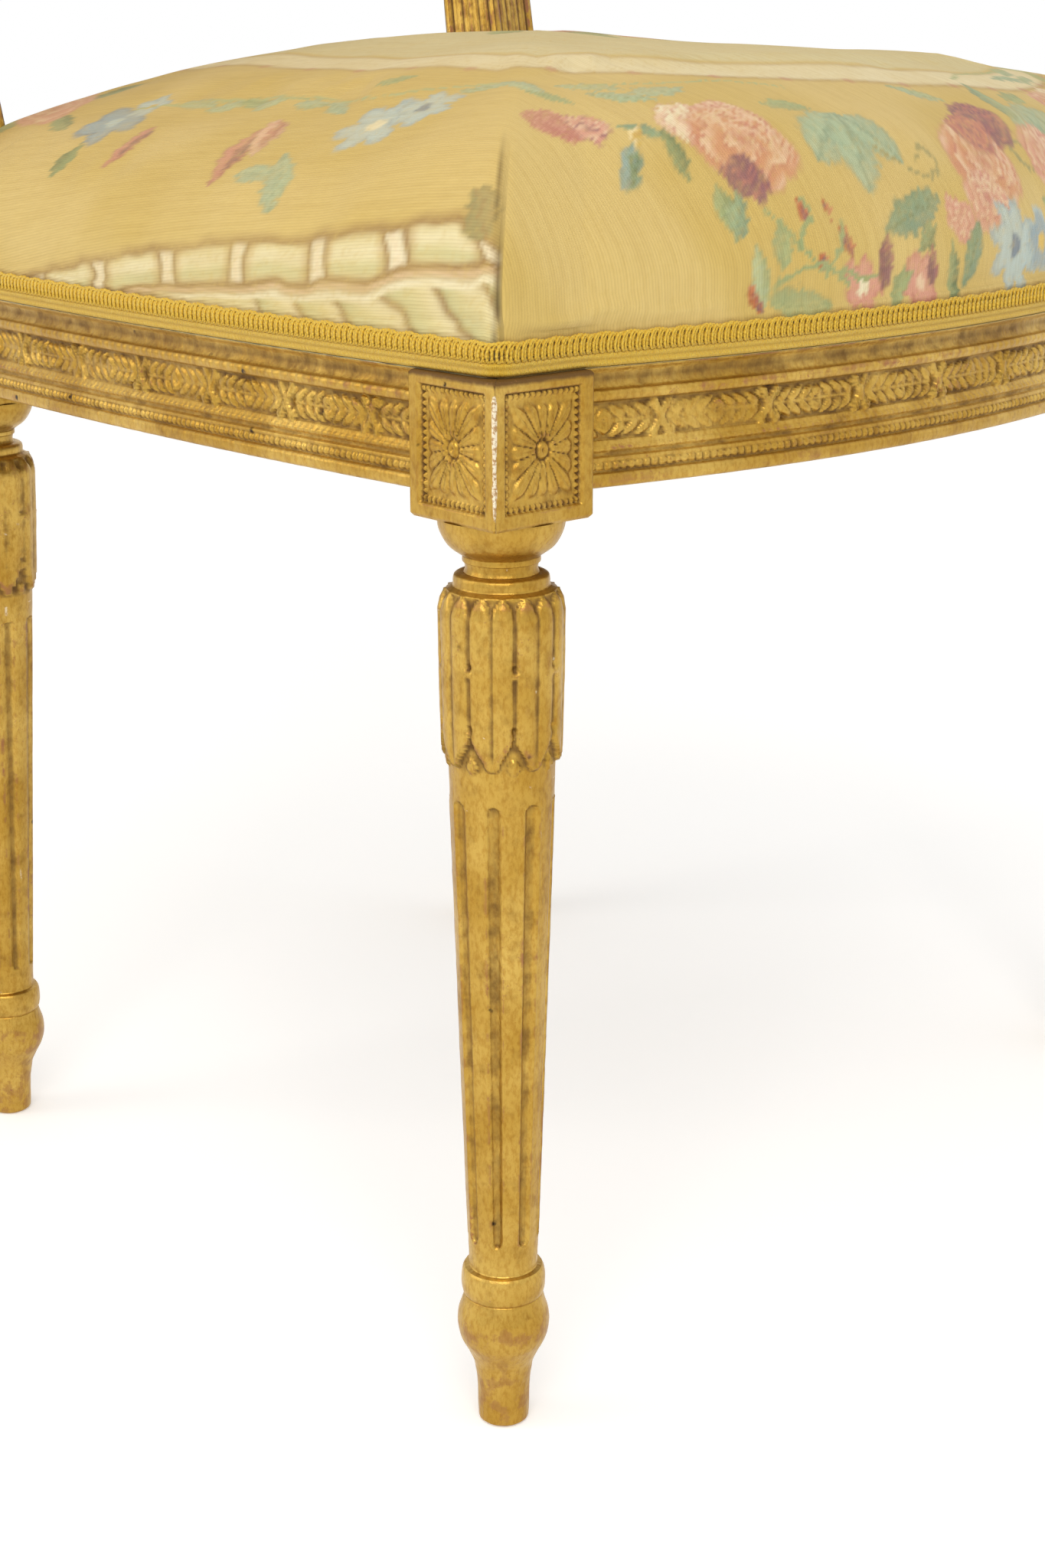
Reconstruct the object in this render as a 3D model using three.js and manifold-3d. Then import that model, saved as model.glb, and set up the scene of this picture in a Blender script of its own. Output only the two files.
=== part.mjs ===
// Giltwood fauteuil with a sprung seat, an oval padded back and open arms.
// Millimetres, +Z up, front of the seat towards -Y, feet on z = 0.

import * as THREE from 'three';
import { mergeVertices } from 'three/addons/utils/BufferGeometryUtils.js';
import Module from 'manifold-3d';

const wasm = await Module();
wasm.setup();

// Seat plan
const frontLegSpacing = 447;
const backLegSpacing = 346;
const seatDepth = 332;
const frontBow = 38;
const sideBow = 7;

// Heights, each from the one below it
const legHeight = 333.5;
const railLift = 8.5;
const railShow = 39;
const rebateHeight = 11.5;
const seatRise = 103;
const railBottom = legHeight + railLift;
const railRebate = railBottom + railShow;
const railTop = railRebate + rebateHeight;
const seatCrown = railRebate + seatRise;

// Posts and rails
const postSide = 42.5;
const postChamfer = 1.2;
const rebateDepth = 6;
const railThickness = 30;
const railSetback = 3;
const tenonThickness = 9.6;
const tenonHeight = 26;
const tenonLength = 15.5;
const pegRadius = 3;
const pegLength = 32;
const pegRise = 6.5;
const cornerBlockReach = 75;
const cornerBlockHeight = 33;
const cornerBlockLift = 2.4;

// Turned leg
const leafCount = 8;
const leafTurn = 6;
const leafGroove = 1.5;
const midribGroove = 0.7;
const fluteDepth = 1.9;
const fluteShares = [0.22, 0.717];
const collarShares = [0.76, 0.9265];
const leafDrop = 4;
const backLegRake = 17;

// Stiles and medallion
const backLean = 10;
const stileSide = 36;
const stileTopSide = 27;
const stileChamfer = 2.4;
const stileRise = 271;
const medallionWidth = 450;
const medallionHeight = 450;
const medallionLift = 85;
const stileTopHeight = railRebate + stileRise;
const medallionCentre = stileTopHeight + medallionLift;
const frameWidth = 34;
const frameDepth = 28;

// Arms
const armSag = 35;
const armReach = 262;
const armFlare = 26;
const armDrop = 22;
const armWidth = 27;
const armDepth = 22;
const armChamfer = 5.5;
const consoleRise = 127.5;
const consoleWidth = 24;
const consoleChamfer = 4.8;
const consoleHeadShare = 0.78;
const consoleWaistShare = 0.25;
const scrollRadius = 17;
const scrollSteps = 20;
const armHeight = medallionCentre - armSag;
const consoleFoot = railTop + consoleRise;
const armPadLength = 150;
const armPadWidth = 42;
const armPadRise = 24;

// Upholstery
const coverThickness = 1.6;
const gimpHeight = 11.5;
const gimpThickness = 1.8;
const armGimpHeight = 6.9;
const webbingWidth = 50;
const webbingThickness = 1.5;
const springWire = 3.2;
const springTopRadius = 32;
const springWaistRadius = 21;
const springTurns = 4;
const canvasThickness = 1.4;
const backPadRise = 34;
const outerBackRise = 7;

// Clearances and steps
const seatGap = 0.3;
const overrun = 20;
const mergeTolerance = 1e-4;
const snapStep = 2e-3;

const postHalf = postSide / 2;
const sideTurn = Math.atan2((frontLegSpacing - backLegSpacing) / 2, seatDepth);
const up = new THREE.Vector3(0, 0, 1);

// Materials

function gilt() {
  return new THREE.MeshStandardMaterial({ color: 0xb98f3e, roughness: 0.42, metalness: 0.75 });
}

function beech() {
  return new THREE.MeshStandardMaterial({ color: 0xa9855b, roughness: 0.8, metalness: 0 });
}

function tapestry() {
  return new THREE.MeshStandardMaterial({ color: 0xd9bd78, roughness: 0.95, metalness: 0 });
}

function braid() {
  return new THREE.MeshStandardMaterial({ color: 0xe2bf2a, roughness: 0.8, metalness: 0 });
}

function jute() {
  return new THREE.MeshStandardMaterial({ color: 0xb59a6b, roughness: 1, metalness: 0 });
}

function horsehair() {
  return new THREE.MeshStandardMaterial({ color: 0x5a4a3a, roughness: 1, metalness: 0 });
}

function steel() {
  return new THREE.MeshStandardMaterial({ color: 0x8d8f90, roughness: 0.4, metalness: 1 });
}

// Solids

function signedVolume(geometry) {
  const p = geometry.attributes.position;
  const index = geometry.index;
  const [a, b, c] = [new THREE.Vector3(), new THREE.Vector3(), new THREE.Vector3()];
  let sum = 0;
  for (let i = 0; i < index.count; i += 3) {
    a.fromBufferAttribute(p, index.getX(i));
    b.fromBufferAttribute(p, index.getX(i + 1));
    c.fromBufferAttribute(p, index.getX(i + 2));
    sum += a.dot(b.cross(c));
  }
  return sum;
}

// A closed body through equal rings of points; an open run gets a cap at each end,
// cut into triangles on the ring's own outline.
function loft(rings, outline, looped = false) {
  const n = rings[0].length;
  const positions = rings.flatMap((ring) => ring.flatMap((p) => [p.x, p.y, p.z]));
  const index = [];
  const spans = looped ? rings.length : rings.length - 1;
  for (let i = 0; i < spans; i++) {
    const a = i * n;
    const b = ((i + 1) % rings.length) * n;
    for (let j = 0; j < n; j++) {
      const k = (j + 1) % n;
      index.push(a + j, a + k, b + k, a + j, b + k, b + j);
    }
  }
  if (!looped) {
    const last = (rings.length - 1) * n;
    const ccw = THREE.ShapeUtils.area(outline) > 0;
    for (const [p, q, r] of THREE.ShapeUtils.triangulateShape(outline, [])) {
      const [s, t, u] = ccw ? [p, q, r] : [p, r, q];
      index.push(s, u, t);
      index.push(last + s, last + t, last + u);
    }
  }
  const geometry = new THREE.BufferGeometry();
  geometry.setAttribute('position', new THREE.Float32BufferAttribute(positions, 3));
  geometry.setIndex(index);
  if (signedVolume(geometry) < 0) {
    index.reverse();
    geometry.setIndex(index);
  }
  return geometry;
}

function solidOf(geometry) {
  const bare = geometry.clone();
  bare.deleteAttribute('normal');
  bare.deleteAttribute('uv');
  const merged = mergeVertices(bare, mergeTolerance);
  return new wasm.Manifold(new wasm.Mesh({
    numProp: 3,
    vertProperties: new Float32Array(merged.attributes.position.array),
    triVerts: new Uint32Array(merged.index.array),
  }));
}

// A cut solid as a geometry on a fine grid, without the slivers that fall together there
function geometryOf(solid) {
  const mesh = solid.getMesh();
  const snapped = Array.from(mesh.vertProperties, (value) => Math.round(value / snapStep) * snapStep);
  const loose = new THREE.BufferGeometry();
  loose.setAttribute('position', new THREE.Float32BufferAttribute(snapped, 3));
  loose.setIndex(Array.from(mesh.triVerts));
  const merged = mergeVertices(loose, snapStep / 2);
  const kept = [];
  for (let i = 0; i < merged.index.count; i += 3) {
    const [a, b, c] = [0, 1, 2].map((corner) => merged.index.getX(i + corner));
    if (a !== b && b !== c && c !== a) {
      kept.push(a, b, c);
    }
  }
  merged.setIndex(kept);
  return merged;
}

function box(width, depth, height, x, y, z) {
  return new THREE.BoxGeometry(width, depth, height).translate(x, y, z);
}

function rectangle(width, height, chamfer) {
  const [x, y] = [width / 2, height / 2];
  const [u, v] = [x - chamfer, y - chamfer];
  return [[x, -v], [x, v], [u, y], [-u, y], [-x, v], [-x, -v], [-u, -y], [u, -y]]
    .map(([a, b]) => new THREE.Vector2(a, b));
}

// A bar whose section stands square to a path; scale(t) shrinks the section on its way.
function bar(path, steps, section, scale = () => 1) {
  const rings = [];
  for (let i = 0; i <= steps; i++) {
    const t = i / steps;
    const centre = path.getPointAt(t);
    const along = path.getTangentAt(t);
    const side = new THREE.Vector3().crossVectors(along, up).normalize();
    const rise = new THREE.Vector3().crossVectors(side, along).normalize();
    rings.push(section.map((p) => centre.clone()
      .addScaledVector(side, p.x * scale(t))
      .addScaledVector(rise, p.y * scale(t))));
  }
  return loft(rings, section);
}

function smoothPath(points) {
  return new THREE.CatmullRomCurve3(points.map(([x, y, z]) => new THREE.Vector3(x, y, z)));
}

function mirrored(geometry) {
  const copy = geometry.clone().scale(-1, 1, 1);
  copy.setIndex(Array.from(copy.index.array).reverse());
  return copy;
}

// Turned leg: heights as shares of the leg's height, radii as shares of half the post;
// the third share lets the leaf tips hang below the collar's edge.
const legOutlineShares = [
  [0, 0.36], [0.007, 0.43], [0.06, 0.46], [0.09, 0.64], [0.118, 0.774], [0.15, 0.68],
  [0.173, 0.7], [0.187, 0.575], [0.208, 0.572], [0.235, 0.588], [0.45, 0.695], [0.71, 0.822],
  [0.753, 0.848], [0.768, 0.935, 1], [0.905, 0.967], [0.922, 0.9], [0.932, 0.74], [0.947, 0.74],
  [0.95, 0.567], [0.962, 0.6], [0.98, 0.9], [1, 0.995],
];
const leafStationShares = [0, 0.3, 0.5, 0.7];
const leafEdgeShares = [1, 0.2, -0.9, 0.2];

function between([low, high], share) {
  return share > low && share < high;
}

function carvingDepth(heightShare, station) {
  const onBoundary = station === 0;
  const onCentre = station === leafStationShares.length / 2;
  if (between(collarShares, heightShare)) {
    return onBoundary ? leafGroove : onCentre ? midribGroove : 0;
  }
  return between(fluteShares, heightShare) && onCentre ? fluteDepth : 0;
}

function turnedLeg(turn, rake) {
  const stations = [];
  for (let leaf = 0; leaf < leafCount; leaf++) {
    leafStationShares.forEach((share, station) => {
      const angle = turn + ((leaf + share - 0.5) / leafCount) * 2 * Math.PI;
      stations.push({ angle, station });
    });
  }
  const rings = legOutlineShares.map(([heightShare, radiusShare, edgeShare = 0]) => {
    const z = heightShare * legHeight;
    const lean = rake * (1 - heightShare);
    return stations.map(({ angle, station }) => {
      const r = radiusShare * postHalf - carvingDepth(heightShare, station);
      const edge = edgeShare * leafEdgeShares[station] * leafDrop;
      return new THREE.Vector3(r * Math.cos(angle), r * Math.sin(angle) + lean, z + edge);
    });
  });
  const outline = rings[0].map((p) => new THREE.Vector2(p.x, p.y));
  return loft(rings, outline);
}

// The square block above a leg, with its recessed panels; outer faces rebated for the cover.
const panelBorder = 5;
const panelDepth = 1.6;
const panelTopBorder = 4;
const rosetteRadius = 14.5;
const rosettePetals = 8;
const rosetteRise = 1.9;
const buttonRadius = 4.2;

function rosette() {
  const rings = [0, 1].map((top) => {
    const points = [];
    for (let i = 0; i < rosettePetals * 2; i++) {
      const angle = (i / (rosettePetals * 2)) * 2 * Math.PI;
      const share = (i % 2 === 0 ? 1 : 0.72) * (top ? 0.86 : 1);
      points.push(new THREE.Vector3(
        rosetteRadius * share * Math.cos(angle),
        rosetteRadius * share * Math.sin(angle),
        top * rosetteRise - (1 - top) * panelDepth / 2,
      ));
    }
    return points;
  });
  const petals = solidOf(loft(rings, rings[0].map((p) => new THREE.Vector2(p.x, p.y))));
  const button = new THREE.SphereGeometry(buttonRadius, 8, 4);
  return petals.add(solidOf(button.translate(0, 0, panelDepth / 2)));
}

function block(outerFaces, top) {
  const body = new THREE.ExtrudeGeometry(new THREE.Shape(rectangle(postSide, postSide, postChamfer)), {
    depth: top - legHeight, bevelEnabled: false,
  });
  let solid = solidOf(body.translate(0, 0, legHeight));
  const panelSide = postSide - 2 * panelBorder;
  const panelHeight = railRebate - legHeight - panelBorder - panelTopBorder;
  const panelMiddle = legHeight + panelBorder + panelHeight / 2;
  for (const face of outerFaces) {
    const angle = face - Math.PI / 2;
    const panel = box(panelSide, 2 * panelDepth, panelHeight, 0, postHalf, panelMiddle);
    solid = solid.subtract(solidOf(panel.rotateZ(angle)));
    const flower = geometryOf(rosette()).rotateX(-Math.PI / 2)
      .translate(0, postHalf - panelDepth, panelMiddle).rotateZ(angle);
    solid = solid.add(solidOf(flower));
  }
  return solid;
}

const frontPost = { x: frontLegSpacing / 2, y: 0 };
const backPost = { x: backLegSpacing / 2, y: seatDepth };

function placedPost(solid, post) {
  return geometryOf(solid).rotateZ(sideTurn).translate(post.x, post.y, 0);
}

// Seat rails: a moulded section carried along the plan of each side.
// Each pair is a share of the rail's thickness inwards and of its height upwards.
const railSectionShares = [
  [0.02, 0], [0, 0.03], [0, 0.085], [0.05, 0.11], [0.05, 0.16], [0.1, 0.19], [0.1, 0.54],
  [0.02, 0.57], [0.02, 0.64], [0.05, 0.69], [0.1, 0.765], [0.1, 1], [1, 1], [1, 0],
];
const railRunOnShare = 0.028;
const frontSteps = 14;
const sideSteps = 7;
const backRailSteps = 2;
const plainSectionShares = [[0, 0], [0, 0.765], [0.1, 0.765], [0.1, 1], [1, 1], [1, 0]];

function railSection(shares) {
  const height = railTop - railBottom;
  return shares.map(([inward, rise]) => new THREE.Vector2(
    inward * railThickness,
    railBottom + rise * height,
  ));
}

// The plan of a rail's outer face is an arc through its two ends and its bow.
// Its ends run on into the posts, which cut them.
function bowedPlan(start, end, bow) {
  const chord = new THREE.Vector2().subVectors(end, start);
  const length = chord.length();
  const along = chord.clone().normalize();
  const outward = new THREE.Vector2(along.y, -along.x);
  return (t) => {
    const rise = bow * (1 - (2 * t - 1) ** 2);
    const slope = (bow * 4 * (1 - 2 * t)) / length;
    const point = start.clone().addScaledVector(along, t * length).addScaledVector(outward, rise);
    const normal = outward.clone().addScaledVector(along, -slope).normalize();
    return { point, normal };
  };
}

function railStations(steps) {
  const stations = [];
  for (let i = 0; i <= steps; i++) {
    stations.push(THREE.MathUtils.lerp(-railRunOnShare, 1 + railRunOnShare, i / steps));
  }
  return stations;
}

function rail(plan, section, steps) {
  const rings = railStations(steps).map((t) => {
    const { point, normal } = plan(t);
    return section.map((p) => new THREE.Vector3(
      point.x - normal.x * (p.x + railSetback),
      point.y - normal.y * (p.x + railSetback),
      p.y,
    ));
  });
  return solidOf(loft(rings, section));
}

// The space a rail takes, with a clearance on its inner face
function railShadow(plan, steps) {
  const [outer, inner] = [-overrun, railThickness + seatGap];
  const [low, high] = [railBottom - overrun, railTop + overrun];
  const section = [[outer, low], [outer, high], [inner, high], [inner, low]]
    .map(([a, b]) => new THREE.Vector2(a, b));
  return rail(plan, section, steps);
}

// Outer corners of the seat frame on the right-hand side, seen from the front
function postCorner(post, alongX, alongY) {
  const local = new THREE.Vector2(alongX * postHalf, alongY * postHalf);
  return local.rotateAround(new THREE.Vector2(0, 0), sideTurn).add(new THREE.Vector2(post.x, post.y));
}

const backInner = postCorner(backPost, -1, 1);
const frontInner = postCorner(frontPost, -1, -1);
const sideFrontEnd = postCorner(frontPost, 1, 0);
const sideBackEnd = postCorner(backPost, 1, 0);

const frontPlan = bowedPlan(
  new THREE.Vector2(-frontInner.x, frontInner.y),
  new THREE.Vector2(frontInner.x, frontInner.y),
  frontBow,
);
const sidePlan = bowedPlan(sideFrontEnd, sideBackEnd, sideBow);
const backPlan = bowedPlan(
  new THREE.Vector2(backInner.x, backInner.y),
  new THREE.Vector2(-backInner.x, backInner.y),
  0,
);

function postCutter(post, grow) {
  const side = postSide + 2 * grow;
  const height = 2 * railTop;
  return solidOf(box(side, side, height, 0, 0, legHeight).rotateZ(sideTurn).translate(post.x, post.y, 0));
}

function tenon(post, towards, grow) {
  const length = 2 * (tenonLength + grow);
  const tongue = box(
    towards === 'x' ? length : tenonThickness + 2 * grow,
    towards === 'x' ? tenonThickness + 2 * grow : length,
    tenonHeight + 2 * grow,
    towards === 'x' ? -postHalf : 0,
    towards === 'x' ? 0 : (post === frontPost ? postHalf : -postHalf),
    (railBottom + railRebate) / 2,
  );
  return solidOf(tongue.rotateZ(sideTurn).translate(post.x, post.y, 0));
}

function mirroredSolid(solid) {
  return solidOf(mirrored(geometryOf(solid)));
}

function tenonedRail(body, tenons, cutters) {
  let solid = body;
  for (const cutter of cutters) {
    solid = solid.subtract(cutter);
  }
  for (const tongue of tenons) {
    solid = solid.add(tongue);
  }
  return solid;
}

const frontCut = postCutter(frontPost, seatGap);
const backCut = postCutter(backPost, seatGap);

// A round peg driven through a post and its tenon from the inner side of the post
function peg(post, towards, grow) {
  const inwards = post === frontPost ? 1 : -1;
  const radius = pegRadius + grow;
  const length = pegLength + 2 * grow;
  const across = (postHalf + tenonLength) / 2 - tenonLength / 4;
  const middle = (railBottom + railRebate) / 2;
  const pin = new THREE.CylinderGeometry(radius, radius, length, 8);
  if (towards === 'x') {
    pin.translate(-across, inwards * (postHalf - pegLength / 2 - seatGap), middle + pegRise);
  } else {
    pin.rotateZ(Math.PI / 2);
    pin.translate(-(postHalf - pegLength / 2 - seatGap), inwards * across, middle - pegRise);
  }
  return solidOf(pin.rotateZ(sideTurn).translate(post.x, post.y, 0));
}

function frontRail() {
  const body = rail(frontPlan, railSection(railSectionShares), frontSteps);
  const tongue = tenon(frontPost, 'x', 0).subtract(peg(frontPost, 'x', seatGap));
  return tenonedRail(body, [tongue, mirroredSolid(tongue)], [frontCut, mirroredSolid(frontCut)]);
}

function backRail() {
  const body = rail(backPlan, railSection(plainSectionShares), backRailSteps);
  const tongue = tenon(backPost, 'x', 0).subtract(peg(backPost, 'x', seatGap));
  return tenonedRail(body, [tongue, mirroredSolid(tongue)], [backCut, mirroredSolid(backCut)]);
}

function sideRail() {
  const body = rail(sidePlan, railSection(railSectionShares), sideSteps);
  const tongues = [frontPost, backPost].map((post) => (
    tenon(post, 'y', 0).subtract(peg(post, 'y', seatGap))
  ));
  return tenonedRail(body, tongues, [frontCut, backCut]);
}

function mortised(solid, post) {
  return ['x', 'y'].reduce((rest, towards) => (
    rest.subtract(tenon(post, towards, seatGap)).subtract(peg(post, towards, seatGap))
  ), solid);
}

// The step cut round the top of the frame, where the cover and its gimp are tacked
function coverRebate() {
  return prism(seatOutline(-overrun), railRebate, railTop + overrun)
    .subtract(prism(seatOutline(rebateDepth), railRebate - overrun, railTop + 2 * overrun));
}

function frontLeg() {
  const turned = solidOf(turnedLeg(THREE.MathUtils.degToRad(leafTurn), 0));
  const whole = turned.add(block([-Math.PI / 2, 0], railTop));
  return mortised(solidOf(placedPost(whole, frontPost)), frontPost).subtract(coverRebate());
}

// Medallion: an oval frame in a plane that leans back from the stiles
const leanAngle = THREE.MathUtils.degToRad(backLean);
const backPlace = new THREE.Matrix4().makeRotationX(-leanAngle).setPosition(
  0,
  seatDepth + (medallionCentre - railTop) * Math.tan(leanAngle),
  medallionCentre,
);
const ovalWidth = (medallionWidth - frameWidth) / 2;
const ovalHeight = (medallionHeight - frameWidth) / 2;

// A stile's top meets the middle of the frame at its own height
const stileSpread = ovalWidth * Math.sqrt(1 - (medallionLift / ovalHeight) ** 2) - backPost.x;

// Shares of half the frame's width outwards and of half its depth, front negative
const frameSectionShares = [
  [1, -0.55], [0.85, -0.9], [0.55, -1], [0.4, -0.82], [0.1, -0.82], [-0.05, -0.95], [-0.45, -0.95],
  [-0.45, -0.45], [-1, -0.45], [-1, 0.5], [-0.5, 0.5], [-0.5, 1], [0.75, 1], [1, 0.7],
];
const rebateShare = 0.45;

function ovalPoint(angle, outward, depth) {
  const normal = new THREE.Vector2(Math.cos(angle) / ovalWidth, Math.sin(angle) / ovalHeight).normalize();
  return new THREE.Vector3(
    ovalWidth * Math.cos(angle) + normal.x * outward,
    depth,
    ovalHeight * Math.sin(angle) + normal.y * outward,
  );
}

// Joints of the four arcs, in degrees round the oval
const ovalArcs = {
  medallion_crest: [50, 130],
  medallion_side_left: [130, 230],
  medallion_base: [230, 310],
  medallion_side_right: [310, 410],
};
const arcSteps = 8;

function ovalArc(from, to) {
  const section = frameSectionShares.map(([u, v]) => new THREE.Vector2(
    u * frameWidth / 2,
    v * frameDepth / 2,
  ));
  const trim = seatGap / (ovalWidth + ovalHeight);
  const rings = [];
  for (let i = 0; i <= arcSteps; i++) {
    const angle = THREE.MathUtils.lerp(from + trim, to - trim, i / arcSteps);
    rings.push(section.map((p) => ovalPoint(angle, p.x, p.y)));
  }
  return loft(rings, section);
}

function ovalStations() {
  return Object.values(ovalArcs).flatMap(([from, to]) => {
    const angles = [];
    for (let i = 0; i < arcSteps; i++) {
      angles.push(THREE.MathUtils.degToRad(THREE.MathUtils.lerp(from, to, i / arcSteps)));
    }
    return angles;
  });
}

function grownOval() {
  const section = rectangle(frameWidth + 2 * seatGap, frameDepth + 2 * seatGap, seatGap);
  const rings = ovalStations().map((angle) => section.map((p) => ovalPoint(angle, p.x, p.y)));
  return solidOf(loft(rings, section, true).applyMatrix4(backPlace));
}

// Stile: the back post carried up from its block to the side of the medallion
function stileCentre(z) {
  const share = (z - railRebate) / (stileTopHeight - railRebate);
  return new THREE.Vector3(
    backPost.x + stileSpread * share ** 2,
    seatDepth + Math.max(0, z - railTop) * Math.tan(leanAngle),
    z,
  );
}

function stile(grow) {
  const steps = 10;
  const rings = [];
  for (let i = 0; i <= steps; i++) {
    const share = i / steps;
    const z = THREE.MathUtils.lerp(railRebate - postChamfer, stileTopHeight, share);
    const half = THREE.MathUtils.lerp(stileSide, stileTopSide, share) / 2 + grow;
    const turn = sideTurn * (1 - share);
    const centre = stileCentre(z);
    rings.push(rectangle(2 * half, 2 * half, stileChamfer).map((p) => {
      const q = p.rotateAround(new THREE.Vector2(0, 0), turn);
      return new THREE.Vector3(centre.x + q.x, centre.y + q.y, z);
    }));
  }
  return solidOf(loft(rings, rectangle(1, 1, seatGap / 2)));
}

function backPostPiece() {
  const turned = solidOf(turnedLeg(THREE.MathUtils.degToRad(leafTurn), backLegRake));
  const whole = turned.add(block([0], railRebate));
  const lower = mortised(solidOf(placedPost(whole, backPost)), backPost);
  return lower.add(stile(0).subtract(grownOval()));
}

// Plan of the seat at a distance inside the posts' outer faces
const cornerRadius = 7;
const seatMiddle = new THREE.Vector2(0, seatDepth * 0.5);

function roundedCorner(post, alongY, inset) {
  const far = postHalf - inset;
  const near = far - cornerRadius;
  const mid = far - cornerRadius * (1 - Math.SQRT1_2);
  const points = [[near, far], [mid, mid], [far, near]].map(([a, b]) => (
    new THREE.Vector2(a, alongY * b)
      .rotateAround(new THREE.Vector2(0, 0), sideTurn)
      .add(new THREE.Vector2(post.x, post.y))
  ));
  return alongY < 0 ? points : points.reverse();
}

function planPoints(plan, stations, inset) {
  return stations.map((t) => {
    const { point, normal } = plan(t);
    return point.addScaledVector(normal, -inset);
  });
}

function within(stations, low) {
  return stations.filter((t) => t > low - railRunOnShare / 2 && t < 1);
}

function seatOutline(inset) {
  const right = [
    ...planPoints(frontPlan, [...within(railStations(frontSteps), 0.5), 1], inset),
    ...roundedCorner(frontPost, -1, inset),
    ...planPoints(sidePlan, [0, ...within(railStations(sideSteps), 0), 1], inset),
    ...roundedCorner(backPost, 1, inset),
    ...planPoints(backPlan, [0, 0.5], inset),
  ];
  const left = right.slice(1, -1).reverse().map((p) => new THREE.Vector2(-p.x, p.y));
  return [...right, ...left];
}

function prism(outline, bottom, top) {
  const rings = [bottom, top].map((z) => outline.map((p) => new THREE.Vector3(p.x, p.y, z)));
  return solidOf(loft(rings, outline));
}

// The sprung seat rises from its border to a crown: shares of the reach inwards and of the rise
const crownShares = [
  [0, 0], [0, 0.125], [-0.008, 0.2], [-0.002, 0.31], [0.025, 0.43], [0.08, 0.55], [0.18, 0.675],
  [0.36, 0.81], [0.64, 0.94], [0.95, 1],
];

function seatDome(inset, crown, base) {
  const outline = seatOutline(inset);
  const rings = crownShares.map(([inward, rise], level) => outline.map((p) => {
    const q = p.clone().lerp(seatMiddle, inward);
    const z = level === 0 ? base : THREE.MathUtils.lerp(railRebate, crown, rise);
    return new THREE.Vector3(q.x, q.y, z);
  }));
  return solidOf(loft(rings, outline));
}

const coverOuter = rebateDepth - seatGap - coverThickness;
const canvasBottom = railTop + seatGap;
const canvasTop = canvasBottom + canvasThickness;
const stileFold = 1.4;
const stileCut = stile(stileFold).add(mirroredSolid(stile(stileFold)));

function seatCover() {
  const outer = seatDome(coverOuter, seatCrown, railRebate + seatGap);
  const inner = seatDome(coverOuter + coverThickness, seatCrown - coverThickness, railRebate - overrun);
  return outer.subtract(inner).subtract(stileCut);
}

function seatStuffing() {
  const crown = seatCrown - coverThickness - seatGap;
  const inset = coverOuter + coverThickness + seatGap;
  const whole = seatDome(inset, crown, railRebate);
  const below = prism(seatOutline(-overrun), railBottom, canvasTop + seatGap);
  return whole.subtract(below).subtract(stileCut);
}

function seatGimp(fromBack) {
  const outer = coverOuter - seatGap - gimpThickness;
  const bottom = railRebate + seatGap;
  const ring = prism(seatOutline(outer), bottom, bottom + gimpHeight)
    .subtract(prism(seatOutline(outer + gimpThickness), bottom - overrun, bottom + gimpHeight + overrun));
  const behind = solidOf(box(
    frontLegSpacing,
    2 * overrun,
    2 * railTop,
    0,
    seatDepth + overrun,
    railTop,
  ));
  const rest = ring.subtract(backCut).subtract(mirroredSolid(backCut));
  return fromBack ? rest.intersect(behind) : rest.subtract(behind);
}

function springCanvas() {
  const inset = rebateDepth + railThickness / 3;
  return prism(seatOutline(inset), canvasBottom, canvasTop).subtract(stileCut);
}

// Webbing under the rails: lengthwise straps above, crosswise straps below them
const strapCount = 4;
const strapPitch = 64;
const webbingTop = railBottom - seatGap;

function webbing(along) {
  const top = along ? webbingTop : webbingTop - webbingThickness - seatGap;
  const reach = frontLegSpacing + seatDepth;
  const field = prism(seatOutline(railSetback + railThickness / 2), top - webbingThickness, top);
  let clear = field;
  for (const post of [frontPost, backPost]) {
    const cutter = postCutter(post, seatGap);
    clear = clear.subtract(cutter).subtract(mirroredSolid(cutter));
  }
  const straps = [];
  for (let i = 0; i < strapCount; i++) {
    const offset = (i - (strapCount - 1) / 2) * strapPitch;
    straps.push(clear.intersect(solidOf(box(
      along ? webbingWidth : reach,
      along ? reach : webbingWidth,
      2 * overrun,
      along ? offset : seatMiddle.x,
      along ? seatMiddle.y : seatMiddle.y + offset,
      top,
    ))));
  }
  return straps;
}

// Waisted coil spring, one unbroken wire from the webbing to the canvas
const springSides = 4;
const springSteps = 7;

class SpringCurve extends THREE.Curve {
  getPoint(t, target = new THREE.Vector3()) {
    const low = webbingTop + seatGap + springWire / 2;
    const high = canvasBottom - seatGap - springWire / 2;
    const radius = springWaistRadius + (springTopRadius - springWaistRadius) * (2 * t - 1) ** 2;
    const angle = t * springTurns * 2 * Math.PI;
    return target.set(radius * Math.cos(angle), radius * Math.sin(angle), THREE.MathUtils.lerp(low, high, t));
  }
}

function coilSpring() {
  const curve = new SpringCurve();
  const steps = springTurns * springSteps;
  const section = [];
  for (let i = 0; i < springSides; i++) {
    const angle = (i / springSides) * 2 * Math.PI;
    section.push(new THREE.Vector2(Math.cos(angle), Math.sin(angle)).multiplyScalar(springWire / 2));
  }
  const rings = [];
  for (let i = 0; i <= steps; i++) {
    const centre = curve.getPoint(i / steps);
    const out = new THREE.Vector3(centre.x, centre.y, 0).normalize();
    rings.push(section.map((p) => centre.clone().addScaledVector(out, p.x).addScaledVector(up, p.y)));
  }
  return loft(rings, section);
}

const springPlaceShares = [[-0.36, 0.3], [0.36, 0.3], [0, 0.5], [-0.31, 0.72], [0.31, 0.72]];
const springSpots = springPlaceShares.map(([x, y]) => [x * backLegSpacing, y * seatDepth]);

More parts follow.
